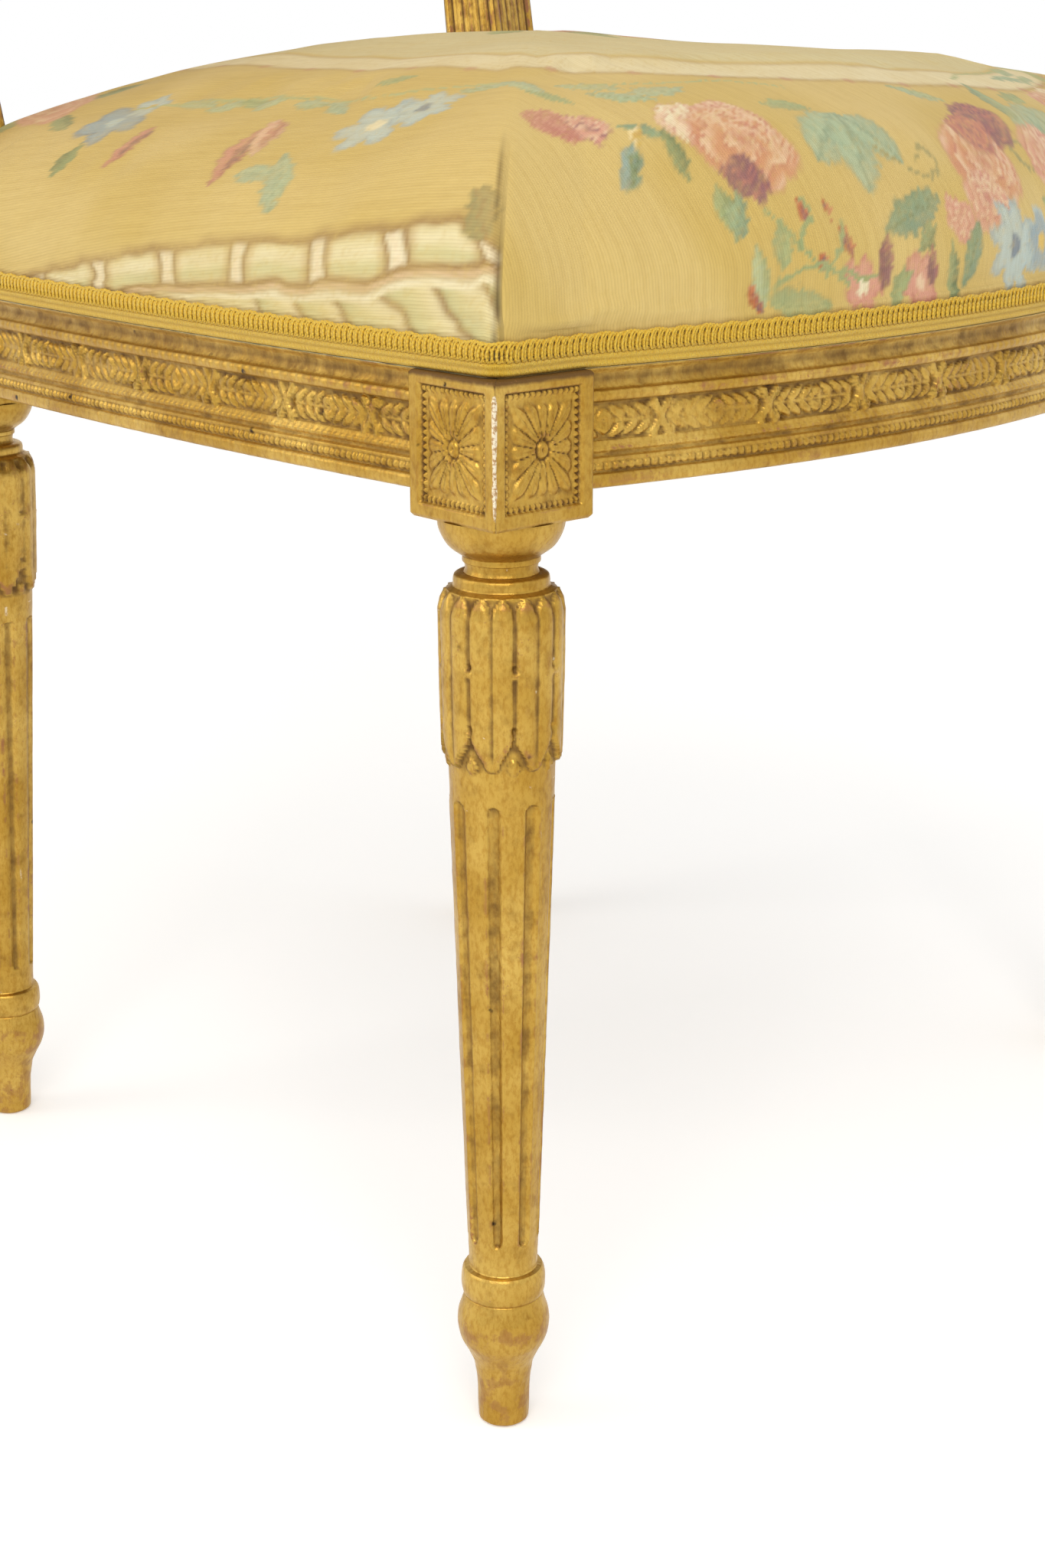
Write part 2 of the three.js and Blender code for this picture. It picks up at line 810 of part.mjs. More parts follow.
// Corner blocks glued into the angles of the frame
function cornerBlock(post, alongY) {
  const bottom = railBottom + cornerBlockLift;
  const reach = cornerBlockReach;
  const corner = [[postHalf, -postHalf], [postHalf, postHalf + reach], [-postHalf - reach, -postHalf]]
    .map(([a, b]) => new THREE.Vector2(a, -alongY * b)
      .rotateAround(new THREE.Vector2(0, 0), sideTurn)
      .add(new THREE.Vector2(post.x, post.y)));
  const cross = post === frontPost ? railShadow(frontPlan, frontSteps) : railShadow(backPlan, backRailSteps);
  return prism(corner, bottom, bottom + cornerBlockHeight)
    .subtract(cross)
    .subtract(railShadow(sidePlan, sideSteps))
    .subtract(postCutter(post, seatGap));
}

// Back upholstery, all in the plane of the medallion
const openingInset = rebateShare * frameWidth / 2 + seatGap;
const rebateFloor = -rebateShare * frameDepth / 2;

// Shares of the opening outwards and of the pad's rise
const backPadShares = [[1, 0], [1, 0.3], [0.985, 0.5], [0.94, 0.68], [0.82, 0.85], [0.55, 0.97], [0.15, 1]];

function ovalRing(inset, reach, depth) {
  return ovalStations().map((angle) => {
    const rim = ovalPoint(angle, -inset, depth);
    return new THREE.Vector3(rim.x * reach, depth, rim.z * reach);
  });
}

function ovalDome(inset, base, foot, rise) {
  const rings = backPadShares.map(([reach, lift], level) => (
    ovalRing(inset, reach, level === 0 ? base : THREE.MathUtils.lerp(foot, rise, lift))
  ));
  return solidOf(loft(rings, rings[0].map((p) => new THREE.Vector2(p.x, p.z))));
}

function ovalSlab(inset, from, to) {
  const rings = [ovalRing(inset, 1, from), ovalRing(inset, 1, to)];
  return solidOf(loft(rings, rings[0].map((p) => new THREE.Vector2(p.x, p.z))));
}

const backWebFront = rebateFloor - seatGap - webbingThickness;
const padFoot = -frameDepth / 2;

const backStrapCount = 3;
const backStrapPitch = 92;

function backWebbing() {
  const field = ovalSlab(openingInset, backWebFront, rebateFloor - seatGap);
  const straps = [];
  for (let i = 0; i < backStrapCount; i++) {
    const offset = (i - (backStrapCount - 1) / 2) * backStrapPitch;
    straps.push(field.intersect(solidOf(box(
      2 * medallionWidth,
      frameDepth,
      webbingWidth,
      0,
      backWebFront,
      offset,
    ))));
  }
  return straps;
}

function backStuffing() {
  const inside = coverThickness + seatGap;
  const base = backWebFront - seatGap;
  return ovalDome(openingInset + inside, base, padFoot, padFoot - backPadRise + inside);
}

function backCover() {
  const foot = backWebFront - seatGap;
  const top = padFoot - backPadRise;
  const outer = ovalDome(openingInset, foot, padFoot, top);
  const inner = ovalDome(openingInset + coverThickness, foot + overrun, padFoot, top + coverThickness);
  return outer.subtract(inner);
}

function outerBackCover() {
  const inset = frameWidth / 4 + seatGap;
  const foot = frameDepth / 4 + seatGap;
  const plane = frameDepth / 2;
  const outer = ovalDome(inset, foot, plane, plane + outerBackRise);
  const inner = ovalDome(
    inset + coverThickness,
    foot - overrun,
    plane - coverThickness,
    plane + outerBackRise - coverThickness,
  );
  return outer.subtract(inner);
}

// Arms: a swept rail from the medallion to a scrolled end, borne by a curved console
const armStart = new THREE.Vector3(
  ovalWidth + frameWidth / 4,
  seatDepth + (armHeight - railTop) * Math.tan(leanAngle),
  armHeight,
);
const armSteps = 10;
const armPathShares = [[0, 0, 0], [0.3, 0.2, 0.15], [0.7, 0.55, 0.8], [0.95, 0.82, 1.1], [1, 1, 1]];

function armPath() {
  return smoothPath(armPathShares.map(([flare, reach, drop]) => [
    armStart.x + flare * armFlare,
    armStart.y - reach * armReach,
    armStart.z - drop * armDrop,
  ]));
}

function armBar(grow) {
  const section = rectangle(armWidth + 2 * grow, armDepth + 2 * grow, armChamfer);
  return solidOf(bar(armPath(), armSteps, section));
}

function armScroll(grow) {
  const end = armPath().getPointAt(1);
  const radius = scrollRadius + grow;
  const scroll = new THREE.CylinderGeometry(radius, radius, armWidth + 2 * grow + seatGap, scrollSteps);
  return solidOf(scroll.rotateZ(Math.PI / 2).translate(end.x, end.y, end.z - scrollRadius + armDepth / 2));
}

function arm(grow) {
  return armBar(grow).add(armScroll(grow));
}

// Everything from the underside of the arm upwards, which ends what meets it from below
function armShadow() {
  const [wide, low] = [armWidth / 2 + overrun, -armDepth / 2 - seatGap];
  const section = [[wide, low], [wide, overrun], [-wide, overrun], [-wide, low]]
    .map(([a, b]) => new THREE.Vector2(a, b));
  return solidOf(bar(armPath(), armSteps, section));
}

const consolePathShares = [[0, 0, 0], [0.28, 0.18, 0.04], [0.62, 0.5, 0.3], [0.86, 0.82, 0.7], [1, 1, 1]];

function armConsole() {
  const foot = stileCentre(consoleFoot);
  const head = armPath().getPointAt(consoleHeadShare);
  const path = smoothPath(consolePathShares.map(([x, y, z]) => [
    THREE.MathUtils.lerp(foot.x, head.x, x),
    THREE.MathUtils.lerp(foot.y, head.y, y),
    THREE.MathUtils.lerp(foot.z, head.z, z),
  ]));
  const section = rectangle(consoleWidth, consoleWidth, consoleChamfer);
  const waist = (t) => 1 - consoleWaistShare * Math.sin(Math.PI * t);
  const body = solidOf(bar(path, armSteps, section, waist));
  return body.subtract(stile(seatGap)).subtract(armShadow());
}

const padSectionShares = [[1, 0], [1, 0.55], [0.86, 0.8], [0.55, 0.95], [0, 1], [-0.55, 0.95], [-0.86, 0.8],
  [-1, 0.55], [-1, 0]];
const armPadStart = 0.18;
const padSteps = 6;
const padEndShare = 0.6;
const padEndPower = 8;

// Rings along the arm's top; sectionAt gives each ring's points from its half width and its fullness
function alongPad(grow, sectionAt) {
  const path = armPath();
  const length = path.getLength();
  const rings = [];
  for (let i = 0; i <= padSteps; i++) {
    const share = i / padSteps;
    const t = armPadStart + (share * (armPadLength + 2 * grow) - grow) / length;
    const centre = path.getPointAt(t);
    const along = path.getTangentAt(t);
    const side = new THREE.Vector3().crossVectors(along, up).normalize();
    const rise = new THREE.Vector3().crossVectors(side, along).normalize();
    const fullness = padEndShare + (1 - padEndShare) * (1 - (2 * share - 1) ** padEndPower);
    const half = (armPadWidth / 2) * fullness + grow;
    rings.push(sectionAt(half, fullness).map((p) => centre.clone()
      .addScaledVector(side, p.x)
      .addScaledVector(rise, armDepth / 2 + seatGap + p.y)));
  }
  return solidOf(loft(rings, sectionAt(1, 1)));
}

function armPad() {
  return alongPad(0, (half, fullness) => padSectionShares.map(([u, v]) => new THREE.Vector2(
    u * half,
    v * armPadRise * fullness,
  )));
}

function padWall(grow, low, high) {
  return alongPad(grow, (half) => [[half, low], [half, high], [-half, high], [-half, low]]
    .map(([a, b]) => new THREE.Vector2(a, b)));
}

function armGimp() {
  const inner = padWall(seatGap, -overrun, armGimpHeight + overrun);
  return padWall(seatGap + gimpThickness, 0, armGimpHeight).subtract(inner);
}

// Assembly
const chair = new THREE.Group();

function addPiece(name, geometry, material, group = chair) {
  const mesh = new THREE.Mesh(geometry, material);
  mesh.name = name;
  group.add(mesh);
  return mesh;
}

function addPair(name, solid, material) {
  const geometry = geometryOf(solid);
  addPiece(`${name}_right`, geometry, material());
  addPiece(`${name}_left`, mirrored(geometry), material());
}

addPair('front_leg', frontLeg(), gilt);
addPair('back_post', backPostPiece(), gilt);
addPiece('front_rail', geometryOf(frontRail()), gilt());
addPiece('back_rail', geometryOf(backRail()), gilt());
addPair('side_rail', sideRail(), gilt);
addPair('front_corner_block', cornerBlock(frontPost, -1), beech);
addPair('back_corner_block', cornerBlock(backPost, 1), beech);

addPair('front_rail_peg', peg(frontPost, 'x', 0), beech);
addPair('back_rail_peg', peg(backPost, 'x', 0), beech);
addPair('side_rail_front_peg', peg(frontPost, 'y', 0), beech);
addPair('side_rail_back_peg', peg(backPost, 'y', 0), beech);

webbing(true).forEach((strap, number) => {
  addPiece(`seat_web_lengthwise_${number + 1}`, geometryOf(strap), jute());
});
webbing(false).forEach((strap, number) => {
  addPiece(`seat_web_crosswise_${number + 1}`, geometryOf(strap), jute());
});
springSpots.forEach(([x, y], number) => {
  const spring = addPiece(`seat_spring_${number + 1}`, coilSpring(), steel());
  spring.position.set(x, y, 0);
});
addPiece('spring_canvas', geometryOf(springCanvas()), jute());
addPiece('seat_stuffing', geometryOf(seatStuffing()), horsehair());
addPiece('seat_cover', geometryOf(seatCover()), tapestry());
addPiece('seat_gimp', geometryOf(seatGimp(false)), braid());
addPiece('seat_gimp_back', geometryOf(seatGimp(true)), braid());

const back = new THREE.Group();
back.applyMatrix4(backPlace);
chair.add(back);
for (const [name, [from, to]] of Object.entries(ovalArcs)) {
  const geometry = ovalArc(THREE.MathUtils.degToRad(from), THREE.MathUtils.degToRad(to));
  addPiece(name, geometry, gilt(), back);
}
backWebbing().forEach((strap, number) => {
  addPiece(`back_web_${number + 1}`, geometryOf(strap), jute(), back);
});
addPiece('back_stuffing', geometryOf(backStuffing()), horsehair(), back);
addPiece('back_cover', geometryOf(backCover()), tapestry(), back);
addPiece('outer_back_cover', geometryOf(outerBackCover()), tapestry(), back);

addPair('arm', arm(0).subtract(grownOval()), gilt);
addPair('arm_console', armConsole(), gilt);
addPair('arm_pad', armPad(), tapestry);
addPair('arm_gimp', armGimp(), braid);

const bounds = new THREE.Box3().setFromObject(chair);
chair.position.y = -(bounds.min.y + bounds.max.y) / 2;
chair.updateMatrixWorld(true);

export default chair;
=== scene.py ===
"""Giltwood fauteuil: carved and gilded frame, tapestry upholstery and scroll gimp.

Every shape is worked out with numpy in millimetres and written to its mesh in metres.
"""

import math
from functools import partial

import bpy
import numpy as np
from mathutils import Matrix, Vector


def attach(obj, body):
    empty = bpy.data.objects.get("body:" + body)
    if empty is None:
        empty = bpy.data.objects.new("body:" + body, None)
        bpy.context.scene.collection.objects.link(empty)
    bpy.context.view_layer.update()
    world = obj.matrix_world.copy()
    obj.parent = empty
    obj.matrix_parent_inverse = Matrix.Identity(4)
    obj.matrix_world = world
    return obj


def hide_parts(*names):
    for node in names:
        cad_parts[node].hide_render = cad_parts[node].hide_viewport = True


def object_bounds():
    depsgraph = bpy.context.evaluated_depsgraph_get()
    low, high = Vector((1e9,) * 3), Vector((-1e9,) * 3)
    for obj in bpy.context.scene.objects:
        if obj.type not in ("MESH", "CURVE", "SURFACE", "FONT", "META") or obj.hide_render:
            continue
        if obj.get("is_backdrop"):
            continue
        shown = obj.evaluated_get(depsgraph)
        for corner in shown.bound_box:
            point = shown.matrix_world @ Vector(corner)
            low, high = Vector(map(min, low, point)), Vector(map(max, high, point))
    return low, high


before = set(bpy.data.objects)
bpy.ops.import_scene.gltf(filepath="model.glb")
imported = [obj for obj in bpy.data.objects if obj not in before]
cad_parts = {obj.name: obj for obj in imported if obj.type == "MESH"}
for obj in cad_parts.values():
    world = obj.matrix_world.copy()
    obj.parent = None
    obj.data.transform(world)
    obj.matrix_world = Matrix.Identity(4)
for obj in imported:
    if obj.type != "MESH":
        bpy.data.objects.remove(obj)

CAD_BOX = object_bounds()

bl_info = {
    "name": "Giltwood fauteuil",
    "version": (1, 0, 0),
    "blender": (4, 5, 0),
    "location": "View3D > Sidebar > Fauteuil",
    "description": "Builds the carved frame, the upholstery and the stage of a giltwood fauteuil",
    "category": "Object",
}

MM = 0.001
TAU = 2 * math.pi
BODY = "root"
SIDES = {1: "right", -1: "left"}
LOOK_PREFIX = "aged_"

# Seat plan, in millimetres, as the frame has it
FRONT_X = 223.5
FRONT_Y = -193.906
BACK_X = 173.0
BACK_Y = FRONT_Y + 332.0
FRONT_BOW = 38.0
SIDE_BOW = 7.0
POST_SIDE = 42.5
POST_HALF = POST_SIDE / 2
SIDE_TURN = math.atan2(FRONT_X - BACK_X, BACK_Y - FRONT_Y)
LEG_HEIGHT = 333.5
RAIL_BOTTOM = 342.0
RAIL_REBATE = 381.0
RAIL_TOP = 392.5
RAIL_THICKNESS = 30.0
RAIL_SETBACK = 3.0
REBATE_DEPTH = 6.0
SEAT_CROWN = 484.0
COVER_INSET = 4.1
BACK_RAKE = 17.0
LEAF_TURN = math.radians(6)

# Back and arms
LEAN = math.radians(10)
OVAL_CENTRE = 737.0
OVAL_RADIUS = 208.0
FRAME_WIDTH = 34.0
FRAME_DEPTH = 28.0
OVAL_Y = BACK_Y + (OVAL_CENTRE - RAIL_TOP) * math.tan(LEAN)
STILE_TOP = 652.0
STILE_SIDE = 36.0
STILE_TOP_SIDE = 27.0
STILE_SPREAD = 16.84
PAD_RISE = 34.0
ARM_HEIGHT = 702.0
ARM_REACH = 262.0
ARM_FLARE = 26.0
ARM_DROP = 22.0
ARM_WIDTH = 27.0
ARM_DEPTH = 22.0
SCROLL_RADIUS = 17.0
CONSOLE_FOOT = 520.0
CONSOLE_WIDTH = 24.0
ARM_PAD_LENGTH = 150.0
ARM_PAD_WIDTH = 42.0
ARM_PAD_RISE = 24.0
ARM_PAD_START = 0.18


# Small helpers

def srgb(code):
    """One sRGB hex value as a linear RGBA tuple."""
    value = [int(code[i:i + 2], 16) / 255 for i in (0, 2, 4)]
    linear = [c / 12.92 if c <= 0.04045 else ((c + 0.055) / 1.055) ** 2.4 for c in value]
    return (*linear, 1.0)


def smoothstep(low, high, value):
    """Rises from 0 at low to 1 at high with level ends."""
    t = np.clip((value - low) / (high - low), 0, 1)
    return t * t * (3 - 2 * t)


def hash_noise(*grids, seed=0.0):
    """A repeatable value from 0 to 1 for each point, the fraction of a large sine."""
    total = sum(g * k for g, k in zip(grids, (12.9898, 78.233, 37.719)))
    value = np.sin(total + seed) * 43758.5453
    return value - np.floor(value)


def value_noise(x, y, seed=0.0):
    """Smooth noise from 0 to 1: hashed lattice corners blended by smoothstep."""
    xi, yi = np.floor(x), np.floor(y)
    u = x - xi
    v = y - yi
    u = u * u * (3 - 2 * u)
    v = v * v * (3 - 2 * v)
    corner = lambda a, b: hash_noise(xi + a, yi + b, seed=seed)
    low = corner(0, 0) * (1 - u) + corner(1, 0) * u
    high = corner(0, 1) * (1 - u) + corner(1, 1) * u
    return low * (1 - v) + high * v


def unit(vectors):
    """Vectors brought to length one."""
    return vectors / np.linalg.norm(vectors, axis=-1, keepdims=True)


def way_along(path):
    """The length of a polyline up to each of its points."""
    return np.concatenate([[0], np.cumsum(np.linalg.norm(np.diff(path, axis=0), axis=1))])


def smooth_profile(points, count):
    """A Catmull-Rom curve through the points; a point given twice stays a sharp corner."""
    p = np.array(points, dtype=float)
    runs = []
    start = 0
    for i in range(1, len(p)):
        if np.allclose(p[i], p[i - 1]):
            runs.append(p[start:i])
            start = i
    runs.append(p[start:])
    out = []
    for run in runs:
        if len(run) < 2:
            continue
        ext = np.vstack([2 * run[0] - run[1], run, 2 * run[-1] - run[-2]])
        seg = np.arange(1, len(ext) - 2)
        t = np.linspace(0, 1, count, endpoint=False)[None, :, None]
        a, b, c, d = (ext[seg + k][:, None, :] for k in (-1, 0, 1, 2))
        m0, m1 = (c - a) * 0.5, (d - b) * 0.5
        curve = (2 * t ** 3 - 3 * t ** 2 + 1) * b + (t ** 3 - 2 * t ** 2 + t) * m0
        curve = curve + (-2 * t ** 3 + 3 * t ** 2) * c + (t ** 3 - t ** 2) * m1
        out.append(curve.reshape(-1, p.shape[1]))
        out.append(run[-1:])
    return np.vstack(out)


def resample(points, count, closed=False):
    """Evenly spaced points by arc length along a polyline."""
    p = np.array(points, dtype=float)
    if closed:
        p = np.vstack([p, p[:1]])
    length = way_along(p)
    at = np.linspace(0, length[-1], count, endpoint=not closed)
    return np.stack([np.interp(at, length, p[:, k]) for k in range(p.shape[1])], axis=1)


def grid_faces(rows, cols, wrap_rows=False, wrap_cols=False, offset=0):
    """Quads of a grid of rows by cols vertices; a wrapped side joins its last line to its first."""
    r = np.arange(rows if wrap_rows else rows - 1)
    c = np.arange(cols if wrap_cols else cols - 1)
    i, j = np.meshgrid(r, c, indexing="ij")
    i2, j2 = (i + 1) % rows, (j + 1) % cols
    quads = np.stack([i * cols + j, i2 * cols + j, i2 * cols + j2, i * cols + j2], axis=-1)
    return quads.reshape(-1, 4) + offset


class Parts:
    """Gathers grids and caps into one mesh, with named values for each vertex."""

    def __init__(self):
        self.points = []
        self.faces = []
        self.values = {}
        self.count = 0

    def grid(self, points, wrap_rows=False, wrap_cols=False, flip=False, **values):
        """Adds a grid of points [rows, cols, 3]."""
        rows, cols = points.shape[:2]
        quads = grid_faces(rows, cols, wrap_rows, wrap_cols, self.count)
        self.faces.append(quads[:, ::-1] if flip else quads)
        self._add(points.reshape(-1, 3), values, rows * cols)

    def cap(self, ring, flip=False, **values):
        """Closes a ring of points with a fan about its middle."""
        n = len(ring)
        points = np.vstack([ring, ring.mean(axis=0)])
        i = np.arange(n)
        fan = np.stack([i, (i + 1) % n, np.full(n, n), np.full(n, n)], axis=-1) + self.count
        self.faces.append(fan[:, [1, 0, 2, 3]] if flip else fan)
        self._add(points, values, n + 1)

    def bar(self, grid, flip, ends=({}, {}), **values):
        """Adds a grid that closes on itself round its columns, with a cap on both its ends."""
        self.grid(grid, wrap_cols=True, flip=flip, **values)
        self.cap(grid[0], flip=flip, **ends[0])
        self.cap(grid[-1], flip=not flip, **ends[1])

    def _add(self, points, values, n):
        self.points.append(points)
        for name in set(self.values) | set(values):
            store = self.values.setdefault(name, [])
            have = sum(len(v) for v in store)
            if have < self.count:
                wide = store[0].ndim == 2 if store else np.size(values[name]) == 3 * n
                store.append(np.zeros((self.count - have, 3) if wide else self.count - have))
            if name in values:
                value = np.asarray(values[name], dtype=float)
                if value.ndim == 0:
                    value = np.full(n, float(value))
                store.append(value.reshape(n) if value.size == n else value.reshape(n, 3))
        self.count += n

    def mesh(self, name, material):
        """Writes the gathered parts to a mesh object in metres."""
        points = np.vstack(self.points) * MM
        quads = np.vstack(self.faces)
        triangle = quads[:, 2] == quads[:, 3]
        sizes = np.where(triangle, 3, 4)
        loops = np.concatenate([[0], np.cumsum(sizes)[:-1]])
        flat = quads.reshape(-1)
        keep = np.ones(len(flat), dtype=bool)
        keep[3::4] = ~triangle
        flat = flat[keep]
        mesh = bpy.data.meshes.new(name)
        mesh.vertices.add(len(points))
        mesh.vertices.foreach_set("co", points.astype(np.float32).reshape(-1))
        mesh.loops.add(len(flat))
        mesh.loops.foreach_set("vertex_index", flat.astype(np.int32))
        mesh.polygons.add(len(quads))
        mesh.polygons.foreach_set("loop_start", loops.astype(np.int32))
        mesh.polygons.foreach_set("use_smooth", np.full(len(quads), True))
        for key, store in self.values.items():
            have = sum(len(v) for v in store)
            if have < self.count:
                store.append(np.zeros((self.count - have, *store[0].shape[1:])))
            data = np.concatenate(store)
            if data.ndim == 2 and key == "cloth":
                layer = mesh.attributes.new(key, "FLOAT_VECTOR", "POINT")
                layer.data.foreach_set("vector", data.astype(np.float32).reshape(-1))
            elif data.ndim == 2:
                layer = mesh.color_attributes.new(key, "FLOAT_COLOR", "POINT")
                rgba = np.concatenate([data, np.ones((len(data), 1))], axis=1)
                layer.data.foreach_set("color", rgba.astype(np.float32).reshape(-1))
            else:
                layer = mesh.attributes.new(key, "FLOAT", "POINT")
                layer.data.foreach_set("value", data.astype(np.float32))
        mesh.update(calc_edges=True)
        mesh.validate()
        obj = bpy.data.objects.new(name, mesh)
        bpy.context.scene.collection.objects.link(obj)
        obj.data.materials.append(material)
        return obj


def finish(parts, name, node, finish_name, mats):
    """Writes a piece to stand for its node and ride with the chair."""
    obj = parts.mesh(name, mats[finish_name])
    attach(obj, BODY)
    if node:
        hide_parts(node)


def sweep(path, section, scale=None, up=(0, 0, 1)):
    """A section carried along a path: each ring stands square to the path, its x to the
    side and its y upwards; scale gives each ring's factor in x and y."""
    along = unit(np.gradient(path, axis=0))
    side = unit(np.cross(along, np.asarray(up, dtype=float)))
    rise = np.cross(side, along)
    scale = np.ones((len(path), 2)) if scale is None else np.asarray(scale)
    sec = section if section.ndim == 3 else np.broadcast_to(section, (len(path), *section.shape))
    return (
        path[:, None, :]
        + side[:, None, :] * (sec[:, :, 0] * scale[:, :1])[:, :, None]
        + rise[:, None, :] * (sec[:, :, 1] * scale[:, 1:])[:, :, None]
    )


def mirror_x(points):
    """The other hand of a grid of points."""
    return points * np.array([-1.0, 1.0, 1.0])


def circle_section(radius, sides):
    """A round section, counted the way that faces a tube's wall outwards."""
    angle = np.arange(sides) / sides * TAU
    return np.stack([radius * np.cos(angle), radius * np.sin(angle)], axis=1)


def rounded_section(width, height, corner, per_corner=6):
    """A rectangle with round corners."""
    turns = np.repeat(np.arange(4), per_corner + 1) * (TAU / 4)
    angle = turns + np.tile(np.linspace(0, TAU / 4, per_corner + 1), 4)
    sx = np.array([1, -1, -1, 1])[np.repeat(np.arange(4), per_corner + 1)]
    sy = np.array([1, 1, -1, -1])[np.repeat(np.arange(4), per_corner + 1)]
    x = sx * (width / 2 - corner) + corner * np.cos(angle)
    y = sy * (height / 2 - corner) + corner * np.sin(angle)
    return np.stack([x, y], axis=1)


# Materials

# Kinds of node: type after "ShaderNode", settings, inputs in the order they are given, main output
KINDS = {
    "plus": ("Math", {"operation": "ADD"}, (0, 1), 0),
    "plus, held": ("Math", {"operation": "ADD", "use_clamp": True}, (0, 1), 0),
    "minus": ("Math", {"operation": "SUBTRACT"}, (0, 1), 0),
    "minus, held": ("Math", {"operation": "SUBTRACT", "use_clamp": True}, (0, 1), 0),
    "times": ("Math", {"operation": "MULTIPLY"}, (0, 1), 0),
    "larger": ("Math", {"operation": "MAXIMUM"}, (0, 1), 0),
    "size": ("Math", {"operation": "ABSOLUTE"}, (0, 1), 0),
    "sine": ("Math", {"operation": "SINE"}, (0, 1), 0),
    "range": ("MapRange", {}, ("Value", "From Min", "From Max", "To Min", "To Max"), "Result"),
    "mix": ("Mix", {"data_type": "RGBA"}, (0, 6, 7), 2),
    "tint": ("Mix", {"data_type": "RGBA", "blend_type": "MULTIPLY"}, (0, 6, 7), 2),
    "noise": ("TexNoise", {}, ("Vector", "Scale", "Detail", "Roughness"), "Fac"),
    "curls": ("TexNoise", {}, ("Vector", "Scale", "Detail", "Distortion"), "Fac"),
    "cells": ("TexVoronoi", {}, ("Vector", "Scale"), "Distance"),
    "waves": ("TexWave", {}, ("Vector", "Scale", "Distortion", "Detail"), "Fac"),
    "stretch": ("Mapping", {}, ("Vector", "Scale"), "Vector"),
    "split": ("SeparateXYZ", {}, (0,), "X"),
    "place": ("TexCoord", {}, (), "Object"),
    "carried": ("Attribute", {}, (), "Fac"),
    "bump": ("Bump", {}, ("Height", "Distance", "Strength"), "Normal"),
    "light": ("Background", {}, ("Color", "Strength"), 0),
    "ray": ("LightPath", {}, (), "Is Camera Ray"),
    "either": ("MixShader", {}, (0, 1, 2), 0),
    "world": ("OutputWorld", {}, ("Surface",), None),
}


def wire(mat, node, inputs):
    """Feeds a node's inputs with values or with the outputs of other nodes."""
    for key, value in inputs.items():
        if isinstance(value, bpy.types.NodeSocket):
            mat.node_tree.links.new(value, node.inputs[key])
        else:
            node.inputs[key].default_value = value


def put(mat, kind, *values, **settings):
    """Adds a node with its settings and links, and returns its main output."""
    name, fixed, keys, main = KINDS[kind]
    node = mat.node_tree.nodes.new("ShaderNode" + name)
    for key, value in {**fixed, **settings}.items():
        setattr(node, key, value)
    wire(mat, node, dict(zip(keys, values)))
    return node if main is None else node.outputs[main]


def material(name):
    """A fresh material, its shader node, and the function that adds nodes to it."""
    mat = bpy.data.materials.new(LOOK_PREFIX + name)
    mat.use_nodes = True
    return mat, mat.node_tree.nodes["Principled BSDF"], partial(put, mat)


# A pattern's scale is 1000 over the real size of its features in millimetres

def make_giltwood(look):
    """Water-gilt carving, two centuries old.

    Gold leaf over red bole on gesso: bright and metallic on the high parts, browned in the
    recesses by dust, an old glaze and painted shade, rubbed to the red bole on the edges
    that hands and brooms reach, with small dark losses.
    """
    mat, shader, add = material("giltwood")
    where = add("place")
    recess = add("carried", attribute_name="recess")
    rub = add("carried", attribute_name="rub")
    bare = add("carried", attribute_name="bare")
    broad = add("noise", where, 1000 / 34, 2.0, 0.55)
    middle = add("noise", where, 1000 / 7, 4.0, 0.62)
    fine = add("noise", where, 1000 / 1.1, 3.0, 0.6)
    gold = add("mix", add("range", broad, 0.38, 0.66), look.gold, look.gold_pale)
    gold = add("mix", add("range", middle, 0.52, 0.74, 0, 0.6), gold, look.gold_brown)
    grain = add("noise", add("stretch", where, (1.0, 1.0, 0.5)), 1000 / 1.5, 3.0, 0.65)
    thin = add("tint", 1.0, gold, srgb("d9c49c"))
    gold = add("mix", add("range", grain, 0.44, 0.66, 0, 0.6), gold, thin)
    # Dust and painted shade in the recesses: the recess mask, varied by noise, browns the gold and dulls its
    # metal.
    grime_and_shade = add("plus", recess, add("range", middle, 0.35, 0.75, -0.16, 0.22))
    grime_and_shade = add("range", grime_and_shade, 0.18, 0.85)
    dusty_and_shaded = add("mix", grime_and_shade, gold, look.toning_and_shade)
    wear = add("times", rub, add("range", middle, 0.4, 0.58, 0.25, 1.5))
    speckle = add("range", fine, 0.61, 0.7, 0, 0.55)
    wear = add("plus", wear, add("times", speckle, add("range", broad, 0.45, 0.6)))
    wear = add("range", wear, 0.3, 0.72)
    gesso = add("mix", add("range", fine, 0.45, 0.6), look.gesso, srgb("b08a58"))
    worn = add("mix", wear, dusty_and_shaded, look.bole)
    worn = add("mix", add("range", bare, 0.25, 0.6), worn, gesso)
    wear = add("plus, held", wear, bare)
    chip = add("range", add("cells", where, 1000 / 19), 0.05, 0.085, 1.0, 0.0)
    worn = add("mix", add("times", chip, add("range", middle, 0.45, 0.55)), worn, srgb("2c1c10"))
    metal = add("minus", 0.86, add("times", grime_and_shade, 0.45))
    rough = add("plus", add("range", middle, 0.3, 0.7, 0.27, 0.44), add("times", grime_and_shade, 0.22))
    skin = add("plus", add("times", middle, 0.6), add("times", grain, 0.4))
    wire(mat, shader, {
        "Base Color": worn, "Metallic": add("minus, held", metal, add("times", wear, 0.6)),
        "Roughness": rough, "Normal": add("bump", skin, 0.5 * MM, 0.9),
    })
    return mat


